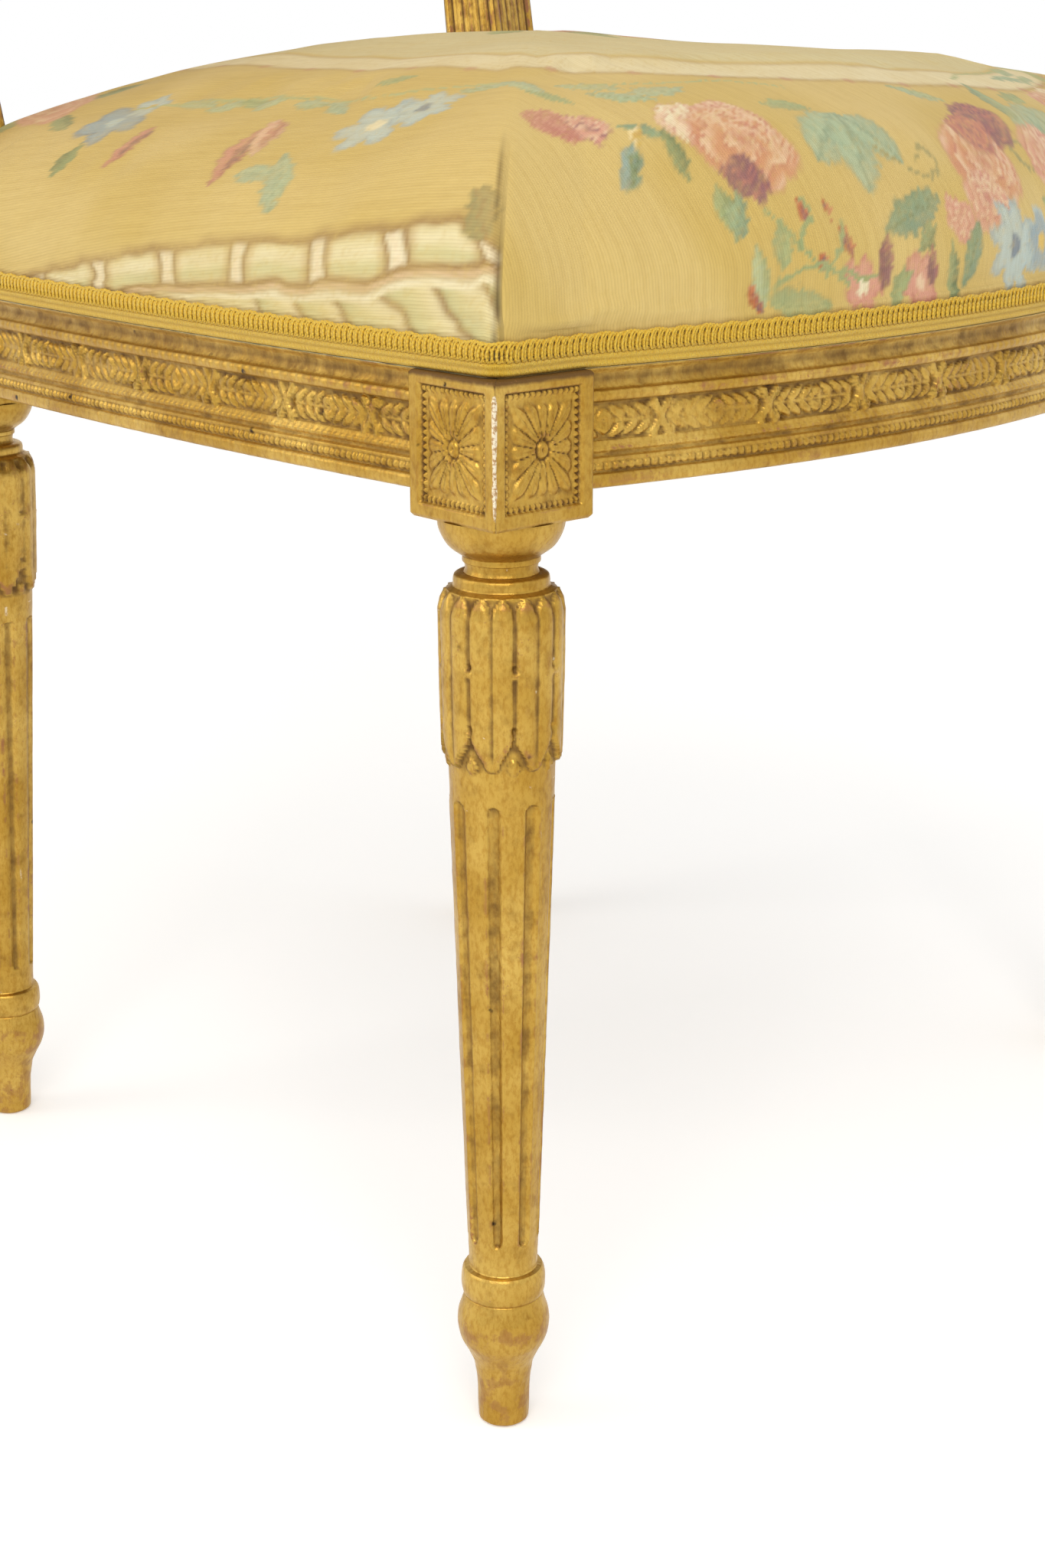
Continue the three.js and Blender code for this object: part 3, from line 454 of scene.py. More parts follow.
def make_beech(look):
    """Plain beech of the hidden frame: pale brown, dulled by age, with short dark flecks."""
    mat, shader, add = material("beech")
    along = add("stretch", add("place"), (1.0, 0.22, 1.0))
    grain = add("noise", along, 1000 / 2.2, 5.0, 0.6)
    fleck = add("noise", along, 1000 / 0.7, 2.0, 0.55)
    tone = add("mix", add("range", grain, 0.35, 0.7), srgb("a87f55"), srgb("7d5836"))
    tone = add("mix", add("range", fleck, 0.6, 0.72, 0, 0.6), tone, srgb("50351f"))
    wire(mat, shader, {"Base Color": tone, "Roughness": 0.62, "Normal": add("bump", grain, 0.12 * MM, 1.0)})
    return mat


def make_webbing(look):
    """Jute webbing: coarse grey-brown yarn in a herringbone, no gloss."""
    mat, shader, add = material("webbing")
    where = add("place")
    wave = add("waves", where, 1000 / 2.4 / 2.4, 2.0, 1.0, bands_direction="DIAGONAL")
    dust = add("range", add("noise", where, 1000 / 5, 3.0, 0.55), 0.4, 0.7, 0, 0.5)
    tone = add("mix", dust, add("mix", wave, srgb("8d7450"), srgb("5f4c33")), srgb("a69372"))
    wire(mat, shader, {"Base Color": tone, "Roughness": 0.95, "Normal": add("bump", wave, 0.4 * MM, 1.0)})
    return mat


def make_canvas(look):
    """Plain-woven hessian over the springs and across the back: dry, brown-grey."""
    mat, shader, add = material("canvas")
    across, down = (add("waves", add("place"), 1000 / 1.2 / 2.4, bands_direction=way) for way in "XY")
    weave = add("times", across, down)
    tone = add("mix", weave, srgb("6d5a40"), srgb("9c8766"))
    wire(mat, shader, {"Base Color": tone, "Roughness": 0.95, "Normal": add("bump", weave, 0.3 * MM, 1.0)})
    return mat


def make_spring_wire(look):
    """Hard-drawn steel wire with an old coppered and browned skin."""
    mat, shader, add = material("spring_wire")
    rust = add("noise", add("place"), 1000 / 6, 4.0, 0.55)
    wire(mat, shader, {
        "Base Color": add("mix", add("range", rust, 0.4, 0.65), srgb("8a6a50"), srgb("4a3324")),
        "Metallic": add("range", rust, 0.4, 0.65, 0.85, 0.3),
        "Roughness": add("range", rust, 0.4, 0.65, 0.35, 0.7),
    })
    return mat


def make_horsehair(look):
    """Curled horsehair stuffing: near-black, wiry and matt."""
    mat, shader, add = material("horsehair")
    hair = add("curls", add("place"), 260.0, 6.0, 3.0)
    tone = add("mix", add("range", hair, 0.4, 0.6), srgb("17120e"), srgb("4a3a2c"))
    wire(mat, shader, {"Base Color": tone, "Roughness": 0.8, "Normal": add("bump", hair, 1.5 * MM, 1.0)})
    return mat


def make_tapestry(look):
    """Wool and silk tapestry: weft ribs over hidden warps, drawn coarser than real to show.

    The mesh carries the woven pattern as a colour. The ribs run across the cloth's own
    coordinate, so they follow the cover over its edges, with painted shade in the furrows
    between them; each weft pick varies a little in tone, and the whole is dry with a faint
    fuzz at the rim.
    """
    mat, shader, add = material("tapestry")
    paint = add("carried", attribute_name="woven").node.outputs["Color"]
    cloth = add("carried", attribute_name="cloth").node.outputs["Vector"]
    seam = add("carried", attribute_name="seam")
    split = add("split", cloth)
    across = add("times", split, TAU / (look.rib * MM))
    down = add("times", split.node.outputs["Y"], TAU / (look.rib * MM * 0.45))
    warp = add("size", add("sine", add("times", across, 0.5)))
    pick = add("plus", warp, add("times", add("sine", down), 0.16))
    slub = add("noise", add("stretch", cloth, (1.8, 0.3, 1.0)), 1000 / 2.2, 3.0, 0.6)
    streak = add("noise", add("stretch", cloth, (2.4, 0.12, 1.0)), 1000 / 5, 2.0, 0.6)
    mottle = add("noise", cloth, 1000 / 26, 3.0, 0.55)
    faded = add("tint", 1.0, paint, srgb("e6dfcd"))
    paint = add("mix", add("range", streak, 0.42, 0.66, 0, 0.3), paint, faded)
    tone = add("mix", add("range", slub, 0.35, 0.7, 0, 0.14), paint, add("tint", 1.0, paint, srgb("d8cfbd")))
    tone = add("mix", add("range", mottle, 0.42, 0.7, 0, 0.28), tone, look.ground_worn)
    # Painted shade in the furrows between the warp ribs; the seam mask darkens the cloth along the corner seams.
    furrow_shade = add("range", warp, 0.0, 0.75, 0.13, 0.0)
    for share, dark in ((furrow_shade, "8f8069"), (seam, "76664c")):
        tone = add("mix", share, tone, add("tint", 1.0, tone, srgb(dark)))
    wire(mat, shader, {
        "Base Color": tone, "Roughness": 0.86, "Specular IOR Level": 0.25, "Sheen Weight": 0.18,
        "Sheen Roughness": 0.5, "Normal": add("bump", pick, 0.1 * MM, 0.7),
    })
    return mat


def make_gimp_braid(look):
    """Silk gimp: bright yellow floss wound on cord, with pale flecks of painted highlight, painted shade in the
    hollows, and a painted dark stripe on each turn so that the rest of it seems to shine.
    """
    mat, shader, add = material("gimp_braid")
    floss = add("noise", add("place"), 1000 / 0.9, 3.0, 0.55)
    # Painted highlights: pale flecks on the floss.
    tone = add("mix", add("range", floss, 0.35, 0.68), look.gimp, look.gimp_highlight)
    # Painted shade in the plait's hollows and on the low parts of the cords.
    shade = add("times", add("carried", attribute_name="recess"), 0.6)
    tone = add("mix", shade, tone, srgb("a67c1c"))
    # Painted shade: a dark stripe on each turn of floss, leaving the rest of the turn to read as lit.
    lay = add("sine", add("times", add("carried", attribute_name="turn"), TAU / 0.55))
    tone = add("mix", add("range", lay, -1.0, 0.2, 0.25, 0.0), tone, srgb("b98d24"))
    wire(mat, shader, {
        "Base Color": tone, "Roughness": 0.5, "Specular IOR Level": 0.4, "Sheen Weight": 0.15,
        "Normal": add("bump", lay, 0.12 * MM, 0.8),
    })
    return mat


# Shared relief tools

def blurred(grid, rows, cols, wrap_cols=False):
    """The mean of a height field over a small window, rows by cols each way."""
    out = grid
    for axis, reach, wrap in ((0, rows, False), (1, cols, wrap_cols)):
        if reach < 1:
            continue
        pad = [(0, 0)] * out.ndim
        pad[axis] = (reach + 1, reach)
        padded = np.pad(out, pad, mode="wrap" if wrap else "edge")
        total = np.cumsum(padded, axis=axis)
        n = out.shape[axis]
        width = 2 * reach + 1
        top = np.take(total, np.arange(width, width + n), axis=axis)
        low = np.take(total, np.arange(0, n), axis=axis)
        out = (top - low) / width
    return out


def cavity(height, rows, cols, scale, wrap_cols=False):
    """Recess and rub from a height field: how far a point lies below or above its surroundings."""
    mean = blurred(height, rows, cols, wrap_cols)
    near = blurred(height, max(1, rows // 3), max(1, cols // 3), wrap_cols)
    low = (mean - height) * 0.6 + (near - height) * 0.9
    return np.clip(low / scale, 0, 1), np.clip(-low / scale, 0, 1)


def dome(distance, radius):
    """A hemisphere's height at a distance from its middle."""
    return radius * np.sqrt(np.clip(1 - (distance / radius) ** 2, 0, 1))


def ridge(distance, width):
    """A soft line, 1 along its middle."""
    return np.exp(-(distance / width) ** 2)


# Legs

FOOT_OUTLINE = [
    (0, 7.65), (0, 7.65), (0.9, 8.7), (2.6, 9.15), (14.8, 9.5), (20, 10.1), (24.4, 10.9),
    (29, 12.9), (34, 15.4), (39.3, 16.45), (44, 16.2), (48, 15.0), (51.5, 14.0), (51.5, 14.0),
    (52.6, 14.6), (55, 15.0), (58.5, 15.0), (61, 14.6), (62.3, 13.9), (62.3, 13.9), (62.7, 12.4),
]
TOP_OUTLINE = [
    (309.9, 18.3), (311, 16.3), (311, 16.3), (311.6, 16.0), (313.0, 16.05), (314.6, 15.6),
    (315.3, 14.0), (315.3, 12.5), (315.3, 12.5), (316.9, 12.0), (318.9, 12.3), (318.9, 12.3),
    (319.1, 12.9), (320.9, 12.9), (320.9, 12.9), (321.3, 13.3), (324, 17.1), (327, 19.3),
    (330, 20.6), (332.4, 21.0), (333.5, 21.0),
]
SHAFT_LOW = 62.7
FLUTE_LOW = 74.0
FLUTE_TOP = 239.0
COLLAR_TIP = 251.5
COLLAR_TOP = 309.0


def leg_rows(coarse):
    """Heights and turned radii of the leg from the floor to its block, closer where it is carved."""
    foot = smooth_profile(FOOT_OUTLINE, 5 if coarse else 7)
    top = smooth_profile(TOP_OUTLINE, 4 if coarse else 7)
    steps = [
        np.linspace(SHAFT_LOW, FLUTE_LOW - 1.5, 10, endpoint=False),
        np.linspace(FLUTE_LOW - 1.5, FLUTE_LOW + 4, 12, endpoint=False),
        np.linspace(FLUTE_LOW + 4, FLUTE_TOP - 4, 26 if coarse else 46, endpoint=False),
        np.linspace(FLUTE_TOP - 4, FLUTE_TOP + 1.5, 14, endpoint=False),
        np.linspace(FLUTE_TOP + 1.5, COLLAR_TIP - 2, 10, endpoint=False),
        np.linspace(COLLAR_TIP - 2, COLLAR_TOP + 0.9, 50 if coarse else 96, endpoint=False),
    ]
    z = np.concatenate(steps)
    r = np.interp(z, [SHAFT_LOW, 68, 221, 254, COLLAR_TOP + 1], [12.3, 12.3, 17.15, 18.1, 18.1])
    return np.vstack([foot, np.stack([z, r], axis=1), top])


def leg_relief(z, radius, angle):
    """Adds the carving to a turned radius.

    Eight leaves hang round the collar, each a shallow round blade with a cut midrib, two
    finer veins and a pointed tip; pearls and drilled holes stand between them, and a small
    leaf peeps out between two tips. Eight flutes with round ends run down the shaft.
    """
    u = (angle - LEAF_TURN) / (TAU / 8)
    u = u - np.round(u)
    side = np.abs(u)
    arc = side * (TAU / 8) * radius
    between = (0.5 - side) * (TAU / 8) * radius

    upper = 0.485 - 0.06 * np.clip((z - 305) / 4, 0, 1) ** 2
    tip = np.clip((z - COLLAR_TIP) / 2.2, 0, 1)
    lower = (0.17 + 0.315 * smoothstep(252.5, 263, z)) * np.sqrt(np.clip(1 - (1 - tip) ** 2, 0, 1))
    width = np.minimum(upper, lower)
    inside = np.where((z > COLLAR_TIP) & (z < COLLAR_TOP + 1), smoothstep(0, 0.05, width - side), 0)
    shallow = 0.84 * smoothstep(263, 268, z) * smoothstep(309, 307, z)
    inside = np.maximum(inside, shallow)
    blade = np.interp(z, [250, 259, 280, 303, 307, 309.8], [1.5, 1.75, 2.2, 2.45, 1.7, 0.2])
    swell = 0.245 * np.sqrt(np.clip(1 - (np.clip(z - 301.5, 0, 8.0) / 8.0) ** 2, 0.03, 1))
    rib = np.sqrt(np.clip(1 - ((side - 0.245) / swell) ** 2, 0, 1)) * 1.05 - 0.4
    cut = -0.4 * ridge(arc, 0.42) * smoothstep(306, 302, z)
    top = smoothstep(301, 308, z) * (1 - np.clip((rib + 0.4) / 0.6, 0, 1))
    leaf = inside * (blade * (1 - 0.45 * top) + rib + cut)

    small = np.clip((z - 249) / 8, 0, 1)
    peep = smoothstep(0, 0.05, 0.17 * (1 - np.abs(small * 2 - 1)) - (0.5 - side))
    peep = peep * (z > 249.5) * (z < 257) * (1.2 - 0.7 * ridge(between, 0.35))
    leaf = np.maximum(leaf, peep)
    for hole in (263.5, 284.5):
        far = np.hypot(between, (z - hole))
        leaf = leaf + 1.3 * ridge(far, 1.0) * (far < 3)
        leaf = leaf - 1.4 * ridge(np.hypot(between, z - hole - 2.6), 0.9)

    run = np.clip(np.minimum((z - FLUTE_LOW), (FLUTE_TOP - z)) / 2.6, 0, 1)
    half = 0.153 * radius * np.sqrt(np.clip(1 - (1 - run) ** 2, 0, 1))
    flute = 1.75 * np.sqrt(np.clip(1 - (arc / np.maximum(half, 0.05)) ** 2, 0, 1)) * (half > 0.05)
    fillet = 0.22 * ridge(arc - half - 0.55, 0.4) * (half > 0.05)
    return leaf - flute + fillet


def post_frame(post_y, post_x):
    """Turn and place of the right-hand post: square to the side rail, centred on its plan."""
    c, s = math.cos(SIDE_TURN), math.sin(SIDE_TURN)

    def place_point(points):
        x = points[..., 0] * c - points[..., 1] * s + post_x
        y = points[..., 0] * s + points[..., 1] * c + post_y
        return np.stack([x, y, points[..., 2]], axis=-1)

    return place_point


def patera(a, b):
    """Relief of one block face about the middle of its panel.

    A sunk square panel edged with a row of small pearls; sixteen petals with cut midlines
    radiate to its sides from a ring of stamens round a drilled button.
    """
    half_a, half_b = 16.25, 19.25
    edge = np.minimum(half_a - np.abs(a), half_b - np.abs(b))
    sunk = -1.9 * smoothstep(-0.25, 0.35, edge)
    reach = np.hypot(a, b * half_a / half_b)
    angle = np.arctan2(b * half_a / half_b, a)
    limit = np.minimum(
        (half_a - 3.2) / np.maximum(np.abs(np.cos(angle)), 1e-6),
        (half_a - 3.2) / np.maximum(np.abs(np.sin(angle)), 1e-6),
    )
    limit = np.minimum(limit, half_a * 1.18)
    share = reach / limit
    sector = np.abs(np.sin(angle * 8))
    across = np.arcsin(np.clip(sector, 0, 1)) / 8 * reach
    wide = np.pi / 16 * reach
    tip = smoothstep(1.02, 0.86, share + 0.12 * (across / np.maximum(wide, 0.2)) ** 2)
    start = smoothstep(2.7, 4.0, reach)
    blade = np.sqrt(np.clip(1 - (across / np.maximum(wide * 0.97, 0.3)) ** 2, 0, 1))
    petal = tip * start * (0.3 + 1.4 * blade - 0.6 * ridge(across, 0.36) * (reach > 5))
    petal = petal * (0.75 + 0.35 * np.sin(np.clip(share, 0, 1) * np.pi))
    ring_angle = np.abs(((angle / TAU * 10) % 1) - 0.5) / 10 * TAU * 3.7
    stamen = dome(np.hypot(ring_angle, reach - 3.7), 0.95) + 0.3 * ridge(reach - 3.7, 0.8)
    button = dome(reach, 2.5) * 0.8 - 1.5 * ridge(reach, 0.8)
    flower = np.maximum(np.maximum(petal, stamen), button)
    along = np.where(half_a - np.abs(a) < half_b - np.abs(b), b, a)
    pearl = dome(np.hypot(((along / 2.35) % 1 - 0.5) * 2.35, edge - 1.35), 0.95)
    inside = smoothstep(0, 0.3, edge)
    drilled = 0.8 * ridge(np.hypot(((along / 2.35 + 0.5) % 1 - 0.5) * 2.35, edge - 1.1), 0.5)
    return sunk + inside * (np.maximum(flower * (edge > 2.2), pearl) - drilled * (edge < 2.4))


def block_side(z):
    """How far a block's plain face stands inside the square at each height."""
    return np.interp(z, [LEG_HEIGHT, 334.6, 380.2, 381, 381.02, 400], [0.9, 0, 0, 0.7, 6.6, 6.6])


def block_grid(carved, top, fine):
    """The square block above a leg: its four sides as one grid, carved on the named sides.

    Sides are counted from +X round by +Y; each is walked from edge to edge, the corners
    rubbed round by less than a millimetre.
    """
    stops = [LEG_HEIGHT, LEG_HEIGHT + 1.2, 379.9, 381.0, 381.02, top]
    counts = [4, int(45.5 / fine), 4, 1, 2]
    z = np.concatenate([
        np.linspace(a, b, n, endpoint=False) for a, b, n in zip(stops, stops[1:], counts)
    ] + [[top]])
    z = z[z <= top + 1e-6]
    rows = []
    heights = []
    for side in range(4):
        n = int(2 * POST_HALF / fine) if side in carved else 12
        a = np.linspace(-POST_HALF, POST_HALF, n, endpoint=False)
        zz, aa = np.meshgrid(z, a, indexing="ij")
        relief = patera(aa, zz - 357.75) if side in carved else np.zeros_like(zz)
        relief = relief * (zz < 380.5)
        round_off = 1.1 - np.sqrt(np.clip(1.1 ** 2 - np.clip(np.abs(aa) - POST_HALF + 1.1, 0, 1.1) ** 2, 0, None))
        inset = block_side(zz)
        out = POST_HALF - inset + relief - round_off * 0.45
        along = aa * (POST_HALF - inset) / POST_HALF
        turn = side * TAU / 4
        x = out * math.cos(turn) - along * math.sin(turn)
        y = out * math.sin(turn) + along * math.cos(turn)
        rows.append(np.stack([x, y, zz], axis=-1))
        heights.append(out + inset)
    return np.concatenate(rows, axis=1), np.concatenate(heights, axis=1)


def edge_wear(square):
    """Where the outer corner of a block has lost its gold down to white gesso."""
    x, y, z = square[..., 0], square[..., 1], square[..., 2]
    corner = np.hypot(x - POST_HALF, y + POST_HALF)
    ragged = value_noise(z / 5.5, x * 0 + 1.0, seed=15.0)
    width = 0.35 + 0.75 * smoothstep(0.4, 0.9, ragged)
    line = smoothstep(width + 0.3, width - 0.3, corner) * smoothstep(335.5, 338, z)
    return line * smoothstep(380.5, 379.5, z) * smoothstep(0.12, 0.32, ragged)


def leg_parts(parts, place_point, hand, sides, rake, carved, top, coarse):
    """One turned leg and its block added to a mesh, at the right or, mirrored, the left post."""
    outline = leg_rows(coarse)
    angle = np.arange(sides) / sides * TAU
    z = np.repeat(outline[:, :1], sides, axis=1)
    base = np.repeat(outline[:, 1:], sides, axis=1)
    turned = (z > SHAFT_LOW) & (z < COLLAR_TOP + 1)
    aa = np.broadcast_to(angle, z.shape)
    radius = base + np.where(turned, leg_relief(z, base, aa), 0)
    dent = value_noise(z / 3.1 + 7 * hand, aa * 6, seed=2.0) - 0.5
    radius = radius + dent * 0.16
    lean = rake * (1 - z / LEG_HEIGHT)
    points = np.stack([radius * np.cos(aa), radius * np.sin(aa) + lean, z], axis=-1)
    # Dust and painted shade in the carving's recesses.
    recess, rub = cavity(radius, 3, 3 if coarse else 4, 0.65, wrap_cols=True)
    wear = smoothstep(70, 10, z) * 0.3 + ridge(z - 41, 8) * 0.16
    wear = wear + smoothstep(0.5, 0.8, value_noise(z / 26, aa * 1.2 + hand, seed=5.0)) * 0.12 * turned
    rub = np.clip(rub * 0.35 + wear, 0, 1)
    recess = recess * np.where(turned & (z < FLUTE_TOP + 2), 0.62, 0.75)
    points = place_point(points)
    grid, height = block_grid(carved, top, 0.8 if coarse else 0.55)
    square = grid
    grid = place_point(grid)
    block_dust_and_shade, block_rub = cavity(height, 4, 4, 1.0, wrap_cols=True)
    # Painted shadow: a dark band along the top of the block, just under the gimp.
    lip = smoothstep(378.2, 380.6, grid[..., 2])
    block_dust_and_shade = np.clip(block_dust_and_shade * 1.1 + lip, 0, 1)
    chalk = edge_wear(square)
    chips = smoothstep(0.95, 0.99, value_noise(z / 3.0, aa * 7.0, seed=14.0)) * (z > 60) * 0.5
    for mesh_grid, low, high, bare in (
        (points, recess, rub, chips), (grid, block_dust_and_shade, block_rub * 0.5, chalk),
    ):
        if hand < 0:
            mesh_grid = mirror_x(mesh_grid)
        ends = ({"recess": 0.3, "rub": 0.6}, {"recess": 0.6, "rub": 0.0})
        parts.bar(mesh_grid, hand > 0, ends, recess=low, rub=high, bare=bare)


def front_leg(hand, look, mats):
    """A front leg: turned, carved and gilded, with the block that the rails run into."""
    parts = Parts()
    place_point = post_frame(FRONT_Y, FRONT_X)
    leg_parts(parts, place_point, hand, 144, 0.0, (0, 3), 392.2, False)
    name = "front_leg_" + SIDES[hand]
    finish(parts, f"carved_{name}", name, "giltwood", mats)


# Plan of the seat

def turned(x, y, post_x, post_y):
    """A point beside a right-hand post, turned with it."""
    c, s = math.cos(SIDE_TURN), math.sin(SIDE_TURN)
    return np.array([x * c - y * s + post_x, x * s + y * c + post_y])


def bowed(start, end, bow, t, inset):
    """Points of a bowed line, set inwards by a distance square to it."""
    chord = end - start
    length = np.linalg.norm(chord)
    along = chord / length
    outward = np.array([along[1], -along[0]])
    t = np.asarray(t, dtype=float)[..., None]
    point = start + along * t * length + outward * bow * (1 - (2 * t - 1) ** 2)
    normal = outward - along * (4 * bow * (1 - 2 * t) / length)
    return point - unit(normal) * np.asarray(inset)[..., None]


def plan_of(side):
    """Start, end and bow of the front, the right side or the back."""
    front_inner = turned(-POST_HALF, -POST_HALF, FRONT_X, FRONT_Y)
    if side == "front":
        return front_inner * np.array([-1, 1]), front_inner, FRONT_BOW
    if side == "side":
        start = turned(POST_HALF, 0, FRONT_X, FRONT_Y)
        return start, turned(POST_HALF, 0, BACK_X, BACK_Y), SIDE_BOW
    inner = turned(-POST_HALF, POST_HALF, BACK_X, BACK_Y)
    return inner, inner * np.array([-1, 1]), 0.0


def corner_arc(post_x, post_y, ahead, inset, radius, count):
    """The rounded outer corner of a right-hand post's block, from front to side or side to back."""
    far = POST_HALF - inset
    near = far - radius
    angle = np.linspace(0, TAU / 4, count)
    a = near + radius * np.sin(angle)
    b = near + radius * np.cos(angle)
    if ahead > 0:
        a, b = a[::-1], b[::-1]
    return np.array([turned(p, ahead * q, post_x, post_y) for p, q in zip(a, b)])


def seat_outline(inset, fine=1.0):
    """The whole seat plan, from the middle of the front by the right side, back and left side."""
    n = lambda count: max(3, int(count * fine))
    front = bowed(*plan_of("front"), np.linspace(0.5, 1, n(180)), inset)
    side = bowed(*plan_of("side"), np.linspace(0.04, 0.96, n(250)), inset)
    back = bowed(*plan_of("back"), np.linspace(0, 0.5, n(90)), inset)
    corner = corner_arc(FRONT_X, FRONT_Y, -1, inset, 7.0, n(34))
    rear = corner_arc(BACK_X, BACK_Y, 1, inset, 7.0, n(20))
    right = np.vstack([front, corner, side, rear, back])
    left = right[1:-1][::-1] * np.array([-1, 1])
    return resample(np.vstack([right, left]), n(1080), closed=True)


# Rails

RAIL_RUN_ON = 0.02


def rail_profile(plain):
    """The rail's face from its lower edge up, as inset and height, in fine steps."""
    if plain:
        points = [(1.0, 342), (0.2, 342.8), (0, 344), (0, 379), (0.3, 380.6), (3, 381), (3, 392.4)]
        return resample(np.array(points, dtype=float), 40)
    points = [
        (1.2, 342.0), (0.3, 342.5), (0.0, 343.8), (0.0, 345.6), (0.5, 346.5), (1.7, 346.9),
        (2.0, 347.4), (2.1, 350.0), (1.4, 350.7), (1.3, 351.4), (2.2, 351.9), (2.9, 352.4),
        (3.2, 356.6), (3.9, 357.4), (4.2, 363.0), (3.9, 368.8), (3.2, 369.8), (1.2, 370.1),
        (0.7, 370.9), (0.5, 372.4), (0.9, 373.6), (1.9, 373.9), (2.9, 375.2), (3.4, 377.0),
        (3.2, 378.8), (2.4, 380.0), (1.6, 380.9), (6.4, 381.4), (6.4, 392.4),
    ]
    return resample(np.array(points, dtype=float), 100)


def garland(s, z):
    """The frieze's carving: laurel in paired leaves, tied with crossed ribbon.

    Leaves stand in V pairs along a stem; every 46 mm a ribbon crosses twice over it with a
    drilled berry below. Under the garland runs a leafy reed, and near the lower edge a line
    of small pearls. Old gesso fills parts of it, so its height comes and goes.
    """
    w = z - 363.1
    tie = ((s / 46.0 + 0.5) % 1 - 0.5) * 46.0
    facing = np.sign(tie)
    body = np.zeros_like(s)
    pitch = 5.1
    for offset in (-1, 0, 1):
        base = (np.floor(s / pitch) + 0.5 + offset) * pitch
        wobble = hash_noise(np.floor(s / pitch) + offset, np.zeros_like(s), seed=3.0) - 0.5
        for sign in (-1, 1):
            ds = (s - base) * facing
            dw = w - sign * (2.9 + wobble * 0.8)
            tilt = math.radians(34) * sign
            x = ds * math.cos(tilt) + dw * math.sin(tilt)
            y = -ds * math.sin(tilt) + dw * math.cos(tilt)
            reach = 1 - (x / 4.0) ** 2 - (y / (1.5 * (1 - 0.09 * x))) ** 2
            leaf = 1.9 * np.sqrt(np.clip(reach, 0, 1)) - 0.55 * ridge(y, 0.32) * (reach > 0.05)
            body = np.maximum(body, leaf)
    stem = 0.9 * ridge(w, 0.75)
    body = np.maximum(body, stem) * smoothstep(2.6, 4.4, np.abs(tie))
    ribbon = 0
    for sign in (-1, 1):
        across = tie * math.cos(0.5) + sign * w * math.sin(0.5)
        ribbon = np.maximum(ribbon, 2.1 * smoothstep(1.5, 0.9, np.abs(across)) - 0.5 * ridge(across, 0.35))
    ribbon = ribbon * smoothstep(5.0, 3.8, np.abs(tie)) * smoothstep(6.6, 5.8, np.abs(w))
    berry_x = tie - 4.6
    berry = dome(np.hypot(berry_x, w + 4.6), 1.6)
    drilled = 1.5 * ridge(np.hypot(berry_x - 2.6, w + 4.8), 0.9)
    small = dome(np.hypot(tie + 4.9, w - 4.4), 1.15)
    carved = np.maximum(np.maximum(body, ribbon), np.maximum(berry, small)) - drilled
    carved = carved * smoothstep(6.9, 6.2, np.abs(w))
    fill = smoothstep(0.2, 0.62, value_noise(s / 17, z / 9, seed=8.0))
    carved = carved * (0.42 + 0.58 * fill)

    low = z - 354.6
    leafy = 0.5 + 0.5 * np.sin(s / 3.3 * TAU + low * 1.6)
    reed = (1.0 + 0.5 * leafy) * ridge(low, 1.15) + 0.35 * ridge(low - 1.9, 0.4)
    bead = np.hypot(((s / 3.05) % 1 - 0.5) * 3.05, z - 348.8)
    pearls = 1.15 * np.sqrt(np.clip(1 - (bead / 1.45) ** 2, 0, 1))
    lip = 0.35 * np.abs(np.sin(s / 4.4 * TAU / 2)) * ridge(z - 372.4, 1.2)
    return carved + reed + pearls + lip


